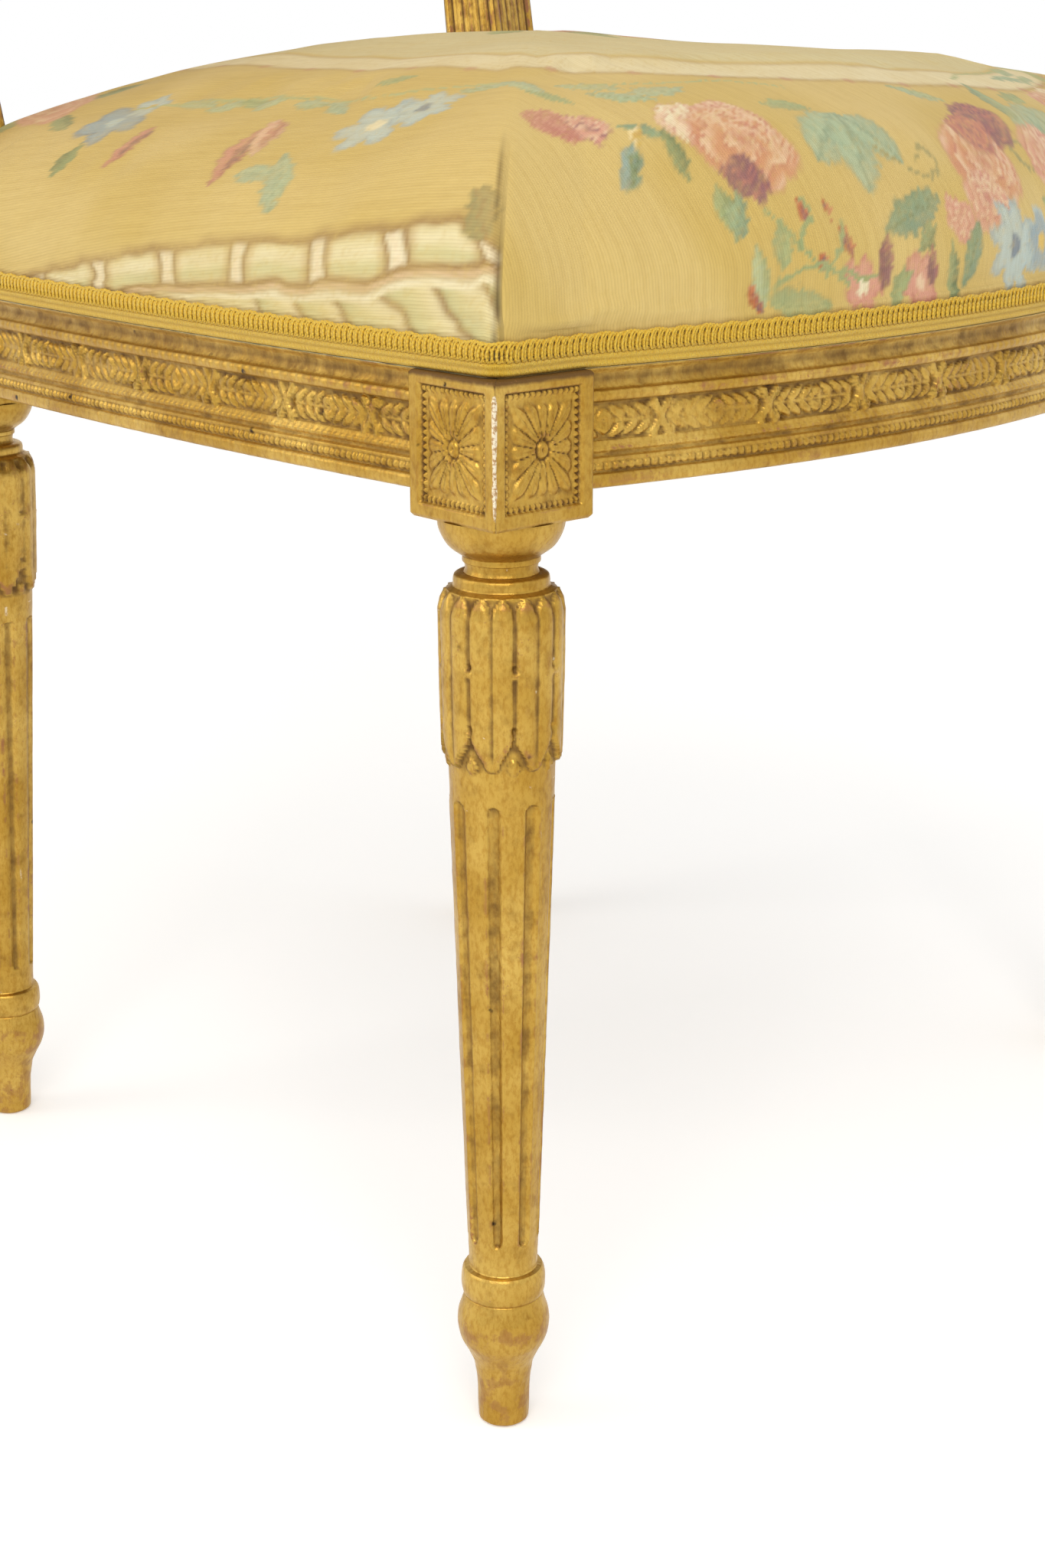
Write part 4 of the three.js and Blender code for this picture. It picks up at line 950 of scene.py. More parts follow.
def rail(side, hand, name, mats):
    """A seat rail: its moulded and carved face along the bowed plan, closed behind."""
    start, end, bow = plan_of(side)
    length = np.linalg.norm(end - start) * (1 + 2 * RAIL_RUN_ON)
    plain = side == "back"
    count = int(length / (4.0 if plain else 0.76))
    t = np.linspace(-RAIL_RUN_ON, 1 + RAIL_RUN_ON, count)
    face = rail_profile(plain)
    inset = np.repeat(face[:, :1], count, axis=1)
    z = np.repeat(face[:, 1:], count, axis=1)
    s = np.repeat((t * length)[None, :], len(face), axis=0)
    if side == "front":
        s = s - length / 2
    relief = np.zeros_like(s) if plain else garland(s, z) * (z < 374)
    wobble = (value_noise(s / 4, z / 3, seed=4.0) - 0.5) * 0.18
    height = -inset + relief + wobble * (z < 380)
    point = bowed(start, end, bow, np.broadcast_to(t, z.shape), RAIL_SETBACK - height)
    grid = np.concatenate([point, z[..., None]], axis=-1)
    # Dust and painted shade in the carving's recesses, with a painted shadow under the gimp along the cove and
    # rebate.
    recess, rub = cavity(height, 7, 5, 1.1)
    shadow_under_gimp = ridge(z - 377.6, 2.0) * 0.7 + smoothstep(379.8, 381.2, z)
    damp = smoothstep(0.35, 0.8, value_noise(s / 40, z / 14, seed=6.0))
    recess = np.clip(recess * 0.72 + shadow_under_gimp * 0.3 + 0.06, 0, 1)
    rub = np.clip(rub * (0.2 + 0.3 * damp) + ridge(z - 343.6, 1.2) * 0.12, 0, 1)
    wall = np.array([
        (face[-1, 0], RAIL_TOP), (RAIL_THICKNESS - 0.6, RAIL_TOP), (RAIL_THICKNESS, RAIL_TOP - 0.6),
        (RAIL_THICKNESS, RAIL_BOTTOM + 0.6), (RAIL_THICKNESS - 0.6, RAIL_BOTTOM), (1.2, RAIL_BOTTOM),
    ])
    wall_in = np.repeat(wall[:, :1], count, axis=1)
    wall_z = np.repeat(wall[:, 1:], count, axis=1)
    spot = bowed(start, end, bow, np.broadcast_to(t, wall_z.shape), RAIL_SETBACK + wall_in)
    wall_grid = np.concatenate([spot, wall_z[..., None]], axis=-1)
    whole = np.concatenate([grid, wall_grid[:-1]], axis=0)
    low = np.concatenate([recess, np.full((len(wall) - 1, count), 0.35)], axis=0)
    high = np.concatenate([rub, np.full((len(wall) - 1, count), 0.25)], axis=0)
    if hand < 0:
        whole = mirror_x(whole)
    parts = Parts()
    parts.grid(whole, wrap_rows=True, flip=hand > 0, recess=low, rub=high)
    parts.cap(whole[:, 0], flip=hand < 0, recess=0.5, rub=0)
    parts.cap(whole[:, -1], flip=hand > 0, recess=0.5, rub=0)
    finish(parts, ("plain_" if plain else "carved_") + name, name, "giltwood", mats)


# Cloth

def blow_up(points, held, cap, inward):
    """Lets the grid of a padded cover, in millimetres, find its form as cloth.

    A coarser copy, drawn in a little, is blown up by an even pressure for twenty frames,
    with its sewn edge held. The way each of its points went, never more than the cap, is
    then spread back over the whole grid, so the woven pattern keeps its place.
    """
    high, wide = points.shape[:2]
    rows = np.unique(np.linspace(0, high - 1, 46).round().astype(int))
    cols = np.unique(np.linspace(0, wide, 110, endpoint=False).round().astype(int))
    coarse = points[np.ix_(rows, cols)]
    hold = held[np.ix_(rows, cols)].reshape(-1)
    start = coarse - inward[np.ix_(rows, cols)]
    spots = start.reshape(-1, 3)
    quads = grid_faces(len(rows), len(cols), False, True)
    ring = np.arange((len(rows) - 1) * len(cols), len(rows) * len(cols))
    a, b, c = (spots[quads[:, k]] - spots.mean(axis=0) for k in range(3))
    if np.sum(a * np.cross(b, c)) < 0:
        quads = quads[:, ::-1]
    else:
        ring = ring[::-1]
    faces = quads.tolist() + [ring.tolist()]
    mesh = bpy.data.meshes.new("blown_cover")
    mesh.from_pydata((spots * MM).tolist(), [], faces)
    obj = bpy.data.objects.new("blown_cover", mesh)
    bpy.context.scene.collection.objects.link(obj)
    group = obj.vertex_groups.new(name="sewn")
    group.add(np.nonzero(hold)[0].tolist(), 1.0, "REPLACE")
    cloth = obj.modifiers.new("cloth", "CLOTH").settings
    cloth.vertex_group_mass = "sewn"
    cloth.use_pressure = True
    cloth.uniform_pressure_force = 4.0
    cloth.effector_weights.gravity = 0.0
    cloth.quality = 5
    for frame_number in range(1, 21):
        bpy.context.scene.frame_set(frame_number)
    blown = obj.evaluated_get(bpy.context.evaluated_depsgraph_get()).to_mesh()
    flat = np.empty(len(spots) * 3)
    blown.vertices.foreach_get("co", flat)
    bpy.context.scene.frame_set(1)
    bpy.data.objects.remove(obj)
    bpy.data.meshes.remove(mesh)
    moved = flat.reshape(coarse.shape) / MM - coarse
    far = np.linalg.norm(moved, axis=-1, keepdims=True)
    moved = moved * np.minimum(1, cap / np.maximum(far, 1e-6))
    across = np.empty((len(rows), wide, 3))
    for k in range(3):
        for i in range(len(rows)):
            across[i, :, k] = np.interp(np.arange(wide), cols, moved[i, :, k], period=wide)
    whole = np.empty_like(points)
    place = np.arange(high)
    step = np.searchsorted(rows, place, side="right").clip(1, len(rows) - 1)
    share = ((place - rows[step - 1]) / (rows[step] - rows[step - 1]))[:, None, None]
    whole = across[step - 1] * (1 - share) + across[step] * share
    return points + whole * (~held)[..., None]


# Seat cover

SEAT_MIDDLE = np.array([0.0, FRONT_Y + 166.0])
FRONT_FULLNESS = 9.0
SEAT_SLACK = 14.0
SETTLED = ((80, -60, 125, -5), (205, -150, 95, 4))
CROWN_SHARES = [
    (0.0, -0.004), (0.0, 0.0), (0.0, 0.125), (-0.006, 0.2), (-0.003, 0.31), (0.022, 0.43),
    (0.075, 0.55), (0.175, 0.675), (0.355, 0.81), (0.62, 0.925), (0.82, 0.977), (0.93, 0.996),
    (0.994, 1.0),
]


def crown_curve(count):
    """Rings of the domed seat, as shares inwards and upwards, closer over the rounded edge."""
    curve = smooth_profile(CROWN_SHARES, 24)
    length = way_along(curve * np.array([215, 103]))
    share = np.linspace(0, 1, count)
    share = share * 0.72 + 0.28 * share ** 2
    at = share * length[-1]
    shares = np.stack([np.interp(at, length, curve[:, k]) for k in (0, 1)], axis=1)
    return shares, at


def seat_surface(rings, fine):
    """The seat cover's outer face and its flat cloth coordinates, both in millimetres.

    Each ring is the seat plan drawn in towards the middle as the crown rises. The cloth
    coordinate of a point is its way over the surface from the middle, laid out flat.
    """
    outline = seat_outline(COVER_INSET, fine)
    shares, at = crown_curve(rings)
    inward = shares[:, 0][:, None, None]
    q = outline[None] * (1 - inward) + SEAT_MIDDLE * inward
    z = RAIL_REBATE + 0.6 + (SEAT_CROWN - RAIL_REBATE - 0.6) * shares[:, 1]
    away = outline - SEAT_MIDDLE
    front = smoothstep(0.15, 0.85, -away[:, 1] / np.linalg.norm(away, axis=1))
    full = smoothstep(0.0, 0.14, shares[:, 0]) * smoothstep(0.7, 0.22, shares[:, 0])
    z = z[:, None] + FRONT_FULLNESS * full[:, None] * front[None]
    points = np.concatenate([q, z[..., None]], axis=-1)
    reach = np.linalg.norm(away, axis=1)
    unit = away / reach[:, None]
    step = np.linalg.norm(np.diff(points, axis=0), axis=-1)
    way = np.concatenate([np.zeros((1, len(outline))), np.cumsum(step, axis=0)])
    way = way[-1] - way
    cloth = SEAT_MIDDLE + unit[None] * way[..., None]
    return points, cloth


def soften_seat(points, cloth):
    """Two centuries of use: a slack dip towards the middle and slow unevenness in the stuffing."""
    lift = smoothstep(RAIL_TOP + 4, RAIL_TOP + 30, points[..., 2])
    slow = value_noise(cloth[..., 0] / 55, cloth[..., 1] / 55, seed=11.0) - 0.5
    quick = value_noise(cloth[..., 0] / 17, cloth[..., 1] / 17, seed=12.0) - 0.5
    out = points.copy()
    out[..., 2] += lift * (slow * 2.6 + quick * 0.7)
    for x, y, reach, rise in SETTLED:
        out[..., 2] += rise * np.exp(-((cloth[..., 0] - x) ** 2 + (cloth[..., 1] - y) ** 2) / reach ** 2)
    away = out[..., :2] - SEAT_MIDDLE
    out[..., :2] += away / np.linalg.norm(away + 1e-6, axis=-1, keepdims=True) * (
        (quick * 0.9 + slow * 0.8) * smoothstep(RAIL_TOP + 2, RAIL_TOP + 14, points[..., 2])
        * smoothstep(SEAT_CROWN - 6, SEAT_CROWN - 40, points[..., 2])
    )[..., None]
    return out


def level(cloth):
    """Flat cloth coordinates in metres, as three values for each point."""
    return np.concatenate([cloth, np.zeros_like(cloth[..., :1])], axis=-1) * MM


def cover(name, node, grid, cloth, paint, fill, mats, flip=False, **values):
    """A padded cover: its face, its middle closed and its edge turned under."""
    parts = Parts()
    parts.grid(grid, wrap_cols=True, flip=flip, woven=paint, cloth=cloth, **values)
    row = lambda g: np.vstack([g[-1], g[-1].mean(axis=0)])
    parts.cap(grid[-1], flip=not flip, woven=row(paint), cloth=row(cloth))
    under = np.stack([grid[0] * 0.97 + grid[0].mean(axis=0) * 0.03, grid[0]])
    pair = lambda g: np.stack([g[0], g[0]])
    parts.grid(under, wrap_cols=True, flip=flip, woven=pair(paint), cloth=pair(cloth))
    finish(parts, name, node, "tapestry", mats)


def threads(points, cloth):
    """Where the threads run: the seat's plan, with the drop of each face folded out square."""
    away = points[..., :2] - SEAT_MIDDLE
    drop = np.linalg.norm(cloth - SEAT_MIDDLE, axis=-1) - np.linalg.norm(away, axis=-1)
    ends = np.abs(away[..., 0]) < 1.33 * np.abs(away[..., 1])
    turn = np.stack([~ends, ends], axis=-1) * np.sign(away)
    return level(points[..., :2] + turn * drop[..., None])


def corner_seam(points):
    """How near each point of the cover is to a front corner's upright seam, 0 to 1."""
    corner = turned(POST_HALF - 6, -(POST_HALF - 6), FRONT_X, FRONT_Y)
    away = unit(corner - SEAT_MIDDLE)
    seam = np.zeros(points.shape[:2])
    for hand in (-1, 1):
        line = away * np.array([hand, 1])
        rel = points[..., :2] - SEAT_MIDDLE
        off = np.abs(rel[..., 0] * line[1] - rel[..., 1] * line[0])
        ahead = (rel @ line) > 0
        seam = np.maximum(seam, ridge(off, 0.75) * ahead)
    return seam * smoothstep(SEAT_CROWN - 28, SEAT_CROWN - 44, points[..., 2])


def seat_cover(look, mats):
    """The tapestry seat cover, woven pattern and seams included, its edge turned under."""
    points, cloth = seat_surface(176, 0.93)
    cloth3 = threads(points, cloth)
    points = soften_seat(points, cloth)
    slack = np.clip((points[..., 2:] - RAIL_TOP) / (SEAT_CROWN - RAIL_TOP), 0, 1) * np.array([0, 0, SEAT_SLACK])
    points = blow_up(points, points[..., 2] < RAIL_TOP + 3, 2.5, slack)
    seam = corner_seam(points)
    away = points[..., :2] - SEAT_MIDDLE
    unit = away / (np.linalg.norm(away, axis=-1, keepdims=True) + 1e-6)
    points[..., :2] -= unit * (seam * 0.9)[..., None]
    paint = weave_seat(cloth, look)
    cover("tapestry_seat_cover", "seat_cover", points, cloth3, paint, 0.85, mats, seam=seam)


# Woven pattern

def blend_in(paint, mask, colour):
    """Lays a colour over the pattern where the mask says."""
    return paint * (1 - mask[..., None]) + np.asarray(colour)[None, :] * mask[..., None]


def wool(code):
    """A dyed wool's colour as three linear values."""
    return np.array(srgb(code)[:3])


class Weaver:
    """Draws motifs into a sheet of woven colour, each only near its own place."""

    def __init__(self, x, y, ground):
        self.x = x.reshape(-1)
        self.y = y.reshape(-1)
        self.shape = x.shape
        self.paint = np.repeat(np.asarray(ground)[None, :], len(self.x), axis=0)

    def near(self, x, y, reach):
        """The points within a square about a place, with their offsets from it."""
        at = np.nonzero((np.abs(self.x - x) < reach) & (np.abs(self.y - y) < reach))[0]
        return at, self.x[at] - x, self.y[at] - y

    def lay(self, at, mask, colour):
        self.paint[at] = blend_in(self.paint[at], np.clip(mask, 0, 1), colour)

    def rose(self, x, y, radius, dark, mid, pale, turn=0.0):
        """A full rose: crumpled rings of petals, deep at the heart, pale on their rims."""
        at, dx, dy = self.near(x, y, radius * 1.35)
        if len(at) == 0:
            return
        angle = np.arctan2(dy, dx) + turn
        far = np.hypot(dx, dy) / radius
        edge = 0.94 + 0.1 * np.abs(np.cos(2.5 * angle)) + 0.04 * np.cos(3 * angle + 1.3)
        inside = smoothstep(edge + 0.05, edge - 0.07, far)
        self.lay(at, inside, mid)
        ring = far * 2.6 + 0.16 * np.sin(angle * 5) + 0.22 * np.sin(angle * 2 + far * 4)
        rim = ring % 1
        lobes = 0.5 + 0.5 * np.cos(angle * 5 + np.floor(ring) * 2.2)
        self.lay(at, inside * smoothstep(0.4, 0.95, rim) * (0.35 + 0.55 * lobes), pale)
        self.lay(at, inside * smoothstep(0.3, 0.02, rim) * (0.35 + 0.4 * lobes), dark)
        if radius > 12:
            across = np.abs(((dx + 0.8 * dy) / 2.7) % 1 - 0.5)
            along = np.abs(((dy - 0.8 * dx) / 2.7) % 1 - 0.5)
            part = inside * smoothstep(-0.2, 0.5, np.cos(angle - turn - 0.7)) * smoothstep(0.25, 0.5, far)
            self.lay(at, part * smoothstep(0.26, 0.08, np.minimum(across, along)) * 0.7, pale)
            self.lay(at, part * smoothstep(0.3, 0.46, np.minimum(across, along)) * 0.65, dark)
        self.lay(at, smoothstep(0.36, 0.1, far) * 0.55, dark)
        self.lay(at, ridge(far - 0.22, 0.07) * 0.4, pale)
        self.lay(at, ridge(far - edge, 0.05) * 0.3, dark)

    def flower(self, x, y, radius, petal, edge, heart, turn=0.0, petals=5):
        """A small open flower with separate petals."""
        at, dx, dy = self.near(x, y, radius * 1.3)
        if len(at) == 0:
            return
        angle = np.arctan2(dy, dx) + turn
        far = np.hypot(dx, dy) / radius
        lobe = 0.62 + 0.4 * np.abs(np.cos(angle * petals / 2))
        self.lay(at, smoothstep(lobe + 0.08, lobe - 0.05, far), petal)
        self.lay(at, ridge(far - lobe + 0.04, 0.09) * 0.7, edge)
        self.lay(at, smoothstep(0.3, 0.2, far), heart)

    def leaf(self, x, y, length, width, turn, green, vein):
        """A pointed leaf from its foot at x, y, with a paler midrib and a darker half."""
        c, s = math.cos(turn), math.sin(turn)
        mx, my = x + c * length / 2, y + s * length / 2
        at, dx, dy = self.near(mx, my, length * 0.62)
        if len(at) == 0:
            return
        u = (dx * c + dy * s) / length + 0.5
        v = (-dx * s + dy * c) / (width / 2)
        half = np.sin(np.clip(u, 0, 1) * np.pi) ** 0.8 * (1.12 - 0.35 * u)
        half = half * (1 + 0.08 * np.sin(u * 34))
        inside = smoothstep(0.12, -0.1, np.abs(v) - half) * (u > 0) * (u < 1)
        self.lay(at, inside, green)
        self.lay(at, inside * smoothstep(0.05, 0.3, v) * 0.3, green * 0.55)
        self.lay(at, inside * smoothstep(0.2, -0.7, v) * 0.45, vein * 1.12)
        self.lay(at, inside * ridge(v, 0.12) * 0.7, vein * 0.8)
        self.lay(at, inside * ridge(((u * 6 + np.abs(v)) % 1) - 0.5, 0.16) * 0.35, vein)
        self.lay(at, ridge(np.abs(v) - half, 0.14) * (u > 0.02) * (u < 0.98) * 0.3, green * 0.5)

    def stem(self, points, width, colour):
        """A thin line through a few points."""
        curve = smooth_profile(points, 14)
        for a, b in zip(curve[:-1], curve[1:]):
            mid = (a + b) / 2
            reach = np.linalg.norm(b - a) / 2 + width * 3
            at, dx, dy = self.near(mid[0], mid[1], reach)
            if len(at) == 0:
                continue
            along = (b - a) / (np.linalg.norm(b - a) + 1e-9)
            u = np.clip(dx * along[0] + dy * along[1], -np.linalg.norm(b - a) / 2, np.linalg.norm(b - a) / 2)
            off = np.hypot(dx - u * along[0], dy - u * along[1])
            self.lay(at, smoothstep(width * 0.9, width * 0.4, off), colour)

    def band(self, distance, low, high, colour, soft=0.4, share=1.0):
        """A stripe between two distances from a line."""
        d = distance.reshape(-1)
        mask = smoothstep(low - soft, low + soft, d) * smoothstep(high + soft, high - soft, d)
        self.paint = blend_in(self.paint, mask * share, colour)

    def sheet(self):
        return self.paint.reshape(*self.shape, 3)


def wools(look):
    """The dyed wools of the pattern."""
    return {
        "ground": np.array(look.ground[:3]), "cream": wool("efe6c4"), "ochre": wool("c09a5c"),
        "brown": wool("9a7848"), "pink": wool("d89d88"), "rose": wool("c07c6c"),
        "deep": wool("8c5c66"), "blush": wool("eacbaa"), "blue": wool("98acb4"),
        "night": wool("6f8498"), "sky": wool("b9cac6"), "green": wool("98a674"),
        "moss": wool("7a8a60"), "sage": wool("adb682"), "gold": wool("dfbd62"),
        "straw": wool("e6cf93"), "salmon": wool("d39470"), "scarlet": wool("bf6a40"),
        "umber": wool("b0905a"), "pearl": wool("e2d6a2"), "pale": wool("b8c6a2"),
        "olive": wool("a39a66"), "teal": wool("8ea688"),
    }


def spray(weaver, w, x, y, turn, size, kind):
    """A small cluster: one bloom with a few leaves and a bud."""
    c, s = math.cos(turn), math.sin(turn)
    spot = lambda a, b: (x + c * a - s * b, y + s * a + c * b)
    for a, b, length, lean in ((2, 4, 9, 0.9), (2, -4, 10, -0.8), (-3, 4, 8, 2.2), (-3, -4, 9, -2.3)):
        px, py = spot(a * size / 6, b * size / 6)
        tone = w["green"] if lean > 0 else w["moss"]
        weaver.leaf(px, py, length * size / 6, 3.6 * size / 6, turn + lean, tone, w["sage"])
    if kind == "rose":
        weaver.rose(x, y, size, w["rose"], w["pink"], w["blush"], turn)
    elif kind == "dark":
        weaver.rose(x, y, size, w["deep"], w["rose"], w["pink"], turn)
    elif kind == "blue":
        weaver.flower(x, y, size * 0.8, w["blue"], w["night"], w["gold"], turn)
        px, py = spot(size * 1.2, size * 0.3)
        weaver.flower(px, py, size * 0.45, w["sky"], w["blue"], w["gold"], turn + 1)
    else:
        weaver.flower(x, y, size * 0.8, w["pink"], w["rose"], w["gold"], turn)
        px, py = spot(-size * 1.2, size * 0.3)
        weaver.flower(px, py, size * 0.45, w["blush"], w["pink"], w["ochre"], turn + 1)


def petal(weaver, w, x, y, length, width, turn, dark, mid, pale):
    """One long petal or tulip-shaped bloom, shaded from a dark edge to a pale one."""
    weaver.leaf(x - math.cos(turn) * length / 2, y - math.sin(turn) * length / 2, length, width, turn,
                w[mid], w[pale])
    weaver.leaf(x - math.cos(turn) * length * 0.42, y - math.sin(turn) * length * 0.42 - width * 0.12,
                length * 0.7, width * 0.4, turn, w[dark], w[mid])


# Seat motifs on the flat cloth, one a line: kind, x, y, size, second size, turn in degrees, wools
FRONT_BLOOMS = """
leaf 22 -208 26 9 150 pale green
leaf 48 -226 34 11 70 teal sage
leaf 52 -238 28 10 10 pale green
rose 26 -226 15 0 40 deep deep rose
rose 2 -246 22 0 160 rose salmon blush
rose 10 -232 11 0 60 deep rose salmon
rose -10 -264 15 0 290 rose pink blush
rose -34 -268 9 0 100 rose pink blush
leaf -22 -270 30 10 235 teal moss
leaf -44 -276 26 8 262 moss sage
flower 2 -282 18 8 20 sky blue night
flower 26 -280 13 5 50 blue sky gold
leaf -42 -257 44 13 191 teal moss
leaf -50 -268 20 8 200 moss sage
rose 56 -244 17 0 80 rose pink blush
leaf 34 -262 30 12 -40 green sage
"""
SIDE_BLOOMS = """
flower -172 52 17 5 30 blue night sky
flower -159 44 10 5 80 sky blue gold
petal -192 24 28 9 168 deep rose pink
leaf -206 62 20 8 -14 moss green
leaf -158 28 26 9 262 pale green
leaf -166 6 22 8 282 pale sage
leaf -158 -8 24 8 250 sage green
leaf -168 -22 18 7 300 pale sage
petal -203 -47 36 13 182 deep rose pink
petal -192 -53 30 12 200 rose pink blush
leaf -234 -92 34 13 28 pale teal
leaf -216 -80 22 10 90 pale teal
leaf -166 -44 20 7 262 pale green
leaf -166 -62 24 8 238 pale teal
leaf -158 -80 18 6 290 sage green
flower -190 -107 17 6 12 sky blue cream
flower -181 -123 13 6 45 sky blue night
leaf -168 -128 28 8 290 pale green
leaf -160 -144 24 8 250 pale sage
leaf -170 -158 20 7 300 sage green
leaf -152 -158 26 8 330 pale green
rose -183 -182 10 0 10 rose rose pink
rose -172 -188 8 0 100 deep pink blush
leaf -150 -170 26 8 -34 pale green
leaf -134 -176 28 9 -8 pale teal
leaf -162 -192 20 7 320 teal green
petal -174 -209 26 8 217 moss teal blue
petal -160 -200 12 5 217 ochre gold cream
leaf -146 -200 24 8 245 moss green
rose -130 -204 15 0 200 rose blush cream
rose -116 -207 14 0 20 rose pink blush
rose -122 -217 20 0 30 rose salmon blush
rose -134 -229 9 0 300 deep deep rose
leaf -148 -226 20 8 250 green sage
leaf -142 -232 20 8 225 teal sage
leaf -64 -214 38 22 212 pale teal
leaf -62 -214 42 20 243 pale teal
leaf -62 -216 28 20 296 pale teal
leaf -70 -208 22 9 160 sage green
petal -120 -248 11 6 60 deep scarlet salmon
petal -106 -262 13 7 80 deep scarlet salmon
petal -122 -265 8 5 40 deep scarlet salmon
petal -108 -250 9 3 60 deep scarlet salmon
petal -160 -266 9 8 100 deep scarlet salmon
leaf -150 -250 22 9 250 sage pale
leaf -156 -270 34 14 -18 sage green
leaf -142 -262 20 7 60 sage green
flower -104 -279 11 5 15 pink rose cream
petal -88 -274 20 9 60 deep deep rose
flower -70 -286 12 5 40 pink rose blush
petal -60 -282 16 8 70 deep deep rose
leaf -92 -290 22 8 30 green sage
"""
MEDALLION_LINE = [
    (-96, 122), (-108, 72), (-128, -16), (-140, -84), (-141, -134), (-101, -160), (-56, -179), (11, -193),
    (72, -196), (132, -187), (176, -160), (192, -110), (190, -20), (186, 60), (176, 116), (140, 138),
    (60, 142), (-30, 142), (-80, 138), (-96, 122),
]


def distance_to(x, y, points, step=5.0):
    """How far each point is from a line, and its way along it."""
    curve = smooth_profile(points, 12)
    total = np.sum(np.linalg.norm(np.diff(curve, axis=0), axis=1))
    curve = resample(curve, max(8, int(total / step)))
    best = np.full(x.shape, 1e9)
    way = np.zeros(x.shape)
    side = np.zeros(x.shape)
    gone = 0.0
    for a, b in zip(curve[:-1], curve[1:]):
        length = np.linalg.norm(b - a)
        along = (b - a) / length
        u = np.clip((x - a[0]) * along[0] + (y - a[1]) * along[1], 0, length)
        dx = x - a[0] - along[0] * u
        dy = y - a[1] - along[1] * u
        far = np.hypot(dx, dy)
        near = far < best
        best = np.where(near, far, best)
        way = np.where(near, gone + u, way)
        side = np.where(near, np.sign(along[0] * dy - along[1] * dx), side)
        gone += length
    return best, way, side


def side_border(weaver, w, x, y, hand):
    """The moulding woven along a side: pale ovals between double bars, over a gadrooned leaf."""
    x = x * hand
    upper = np.interp(y, [-216, -204, -191, -175, -161, -125, 130], [-249, -246, -241.5, -241.5, -244, -246, -246])
    lower = np.interp(y, [-219, -211, -187, -173, -159, 130], [-252.5, -254.5, -255, -256, -260, -260])
    run = smoothstep(-0.5, 1.5, -x - 1.335 * np.abs(y + 28)) * smoothstep(130, 120, y)
    low = x - lower
    v = (upper - x) / np.maximum(upper - lower, 1.0)
    every = slice(None)
    inside = smoothstep(-0.02, 0.08, v) * smoothstep(1.02, 0.92, v) * run
    weaver.lay(every, inside, w["pearl"])
    body = np.sin(np.clip(v, 0, 1) * np.pi)
    weaver.lay(every, inside * smoothstep(0.7, 0.0, body) * 0.45, w["ochre"])
    weaver.lay(every, inside * ridge(v - 0.38, 0.2) * 0.5, w["cream"])
    weaver.lay(every, inside * ridge(v - 0.72, 0.18) * 0.35, w["sage"])
    level = y - 10.5 * (0.5 - np.clip(v, 0, 1)) * smoothstep(-95, -165, y)
    bars = np.interp(level, [-213, -167, -129, -84, -38, 14, 66, 118], np.arange(-1.0, 7.0))
    far = np.abs((bars + 0.5) % 1 - 0.5) * 44.0 - 1.2 * (2 * np.clip(v, 0, 1) - 1) ** 2
    weaver.lay(every, inside * smoothstep(10.5, 6.5, far) * 0.4, w["ochre"])
    weaver.lay(every, inside * smoothstep(4.2, 3.0, far), w["cream"])
    weaver.lay(every, inside * ridge(far - 4.1, 1.5) * 0.85, w["brown"])
    weaver.lay(every, inside * ridge(far, 1.2) * 0.3, w["blush"])
    weaver.lay(every, smoothstep(3.4, 0.2, np.abs(x - upper - 1.4)) * run * 0.5, w["umber"])
    weaver.lay(every, ridge(x - upper, 1.3) * run * 0.75, w["brown"])
    below = smoothstep(0.6, -0.6, low + 2.6) * smoothstep(20, -90, y) * run
    weaver.lay(every, below * 0.85, w["pearl"])
    weaver.lay(every, ridge(low + 1.8, 1.3) * run * 0.7, w["blush"])
    weaver.lay(every, ridge(low, 1.3) * run * 0.9, w["brown"])
    weaver.lay(every, ridge(low + 3.1, 0.9) * run * 0.5, w["brown"])
    weaver.lay(every, ridge(low + 4.6, 1.3) * smoothstep(-20, -70, y) * run * 0.9, w["cream"])
    deep = -low - 5.4
    slant = (y + 157 + 1.75 * (deep - 1.0)) / 24.0
    turn = (slant + 0.5) % 1
    part = smoothstep(0.0, 1.0, deep) * smoothstep(-88, -104, y) * run
    weaver.lay(every, smoothstep(0.2, 1.0, turn) * part * 0.5, w["sage"])
    weaver.lay(every, smoothstep(0.5, 0.1, turn) * part * 0.4, w["cream"])
    weaver.lay(every, ridge(np.abs(turn - 0.5) * 24.0 - 12.0, 2.4) * part * 0.85, w["brown"])


def lay_blooms(weaver, w, blooms, hand):
    """Draws a table of motifs, as given or mirrored to the other side."""
    for line in blooms.strip().splitlines():
        kind, *numbers = line.split()
        x, y, size, second, turn = (float(value) for value in numbers[:5])
        tones = numbers[5:]
        angle = math.radians(turn if hand > 0 else 180 - turn)
        x = x * hand
        if kind == "rose":
            weaver.rose(x, y, size, *(w[t] for t in tones), angle)
        elif kind == "flower":
            weaver.flower(x, y, size, *(w[t] for t in tones), angle, second)
        elif kind == "leaf":
            weaver.leaf(x, y, size, second, angle, w[tones[0]], w[tones[1]])
        else:
            petal(weaver, w, x, y, size, second, angle, *tones)


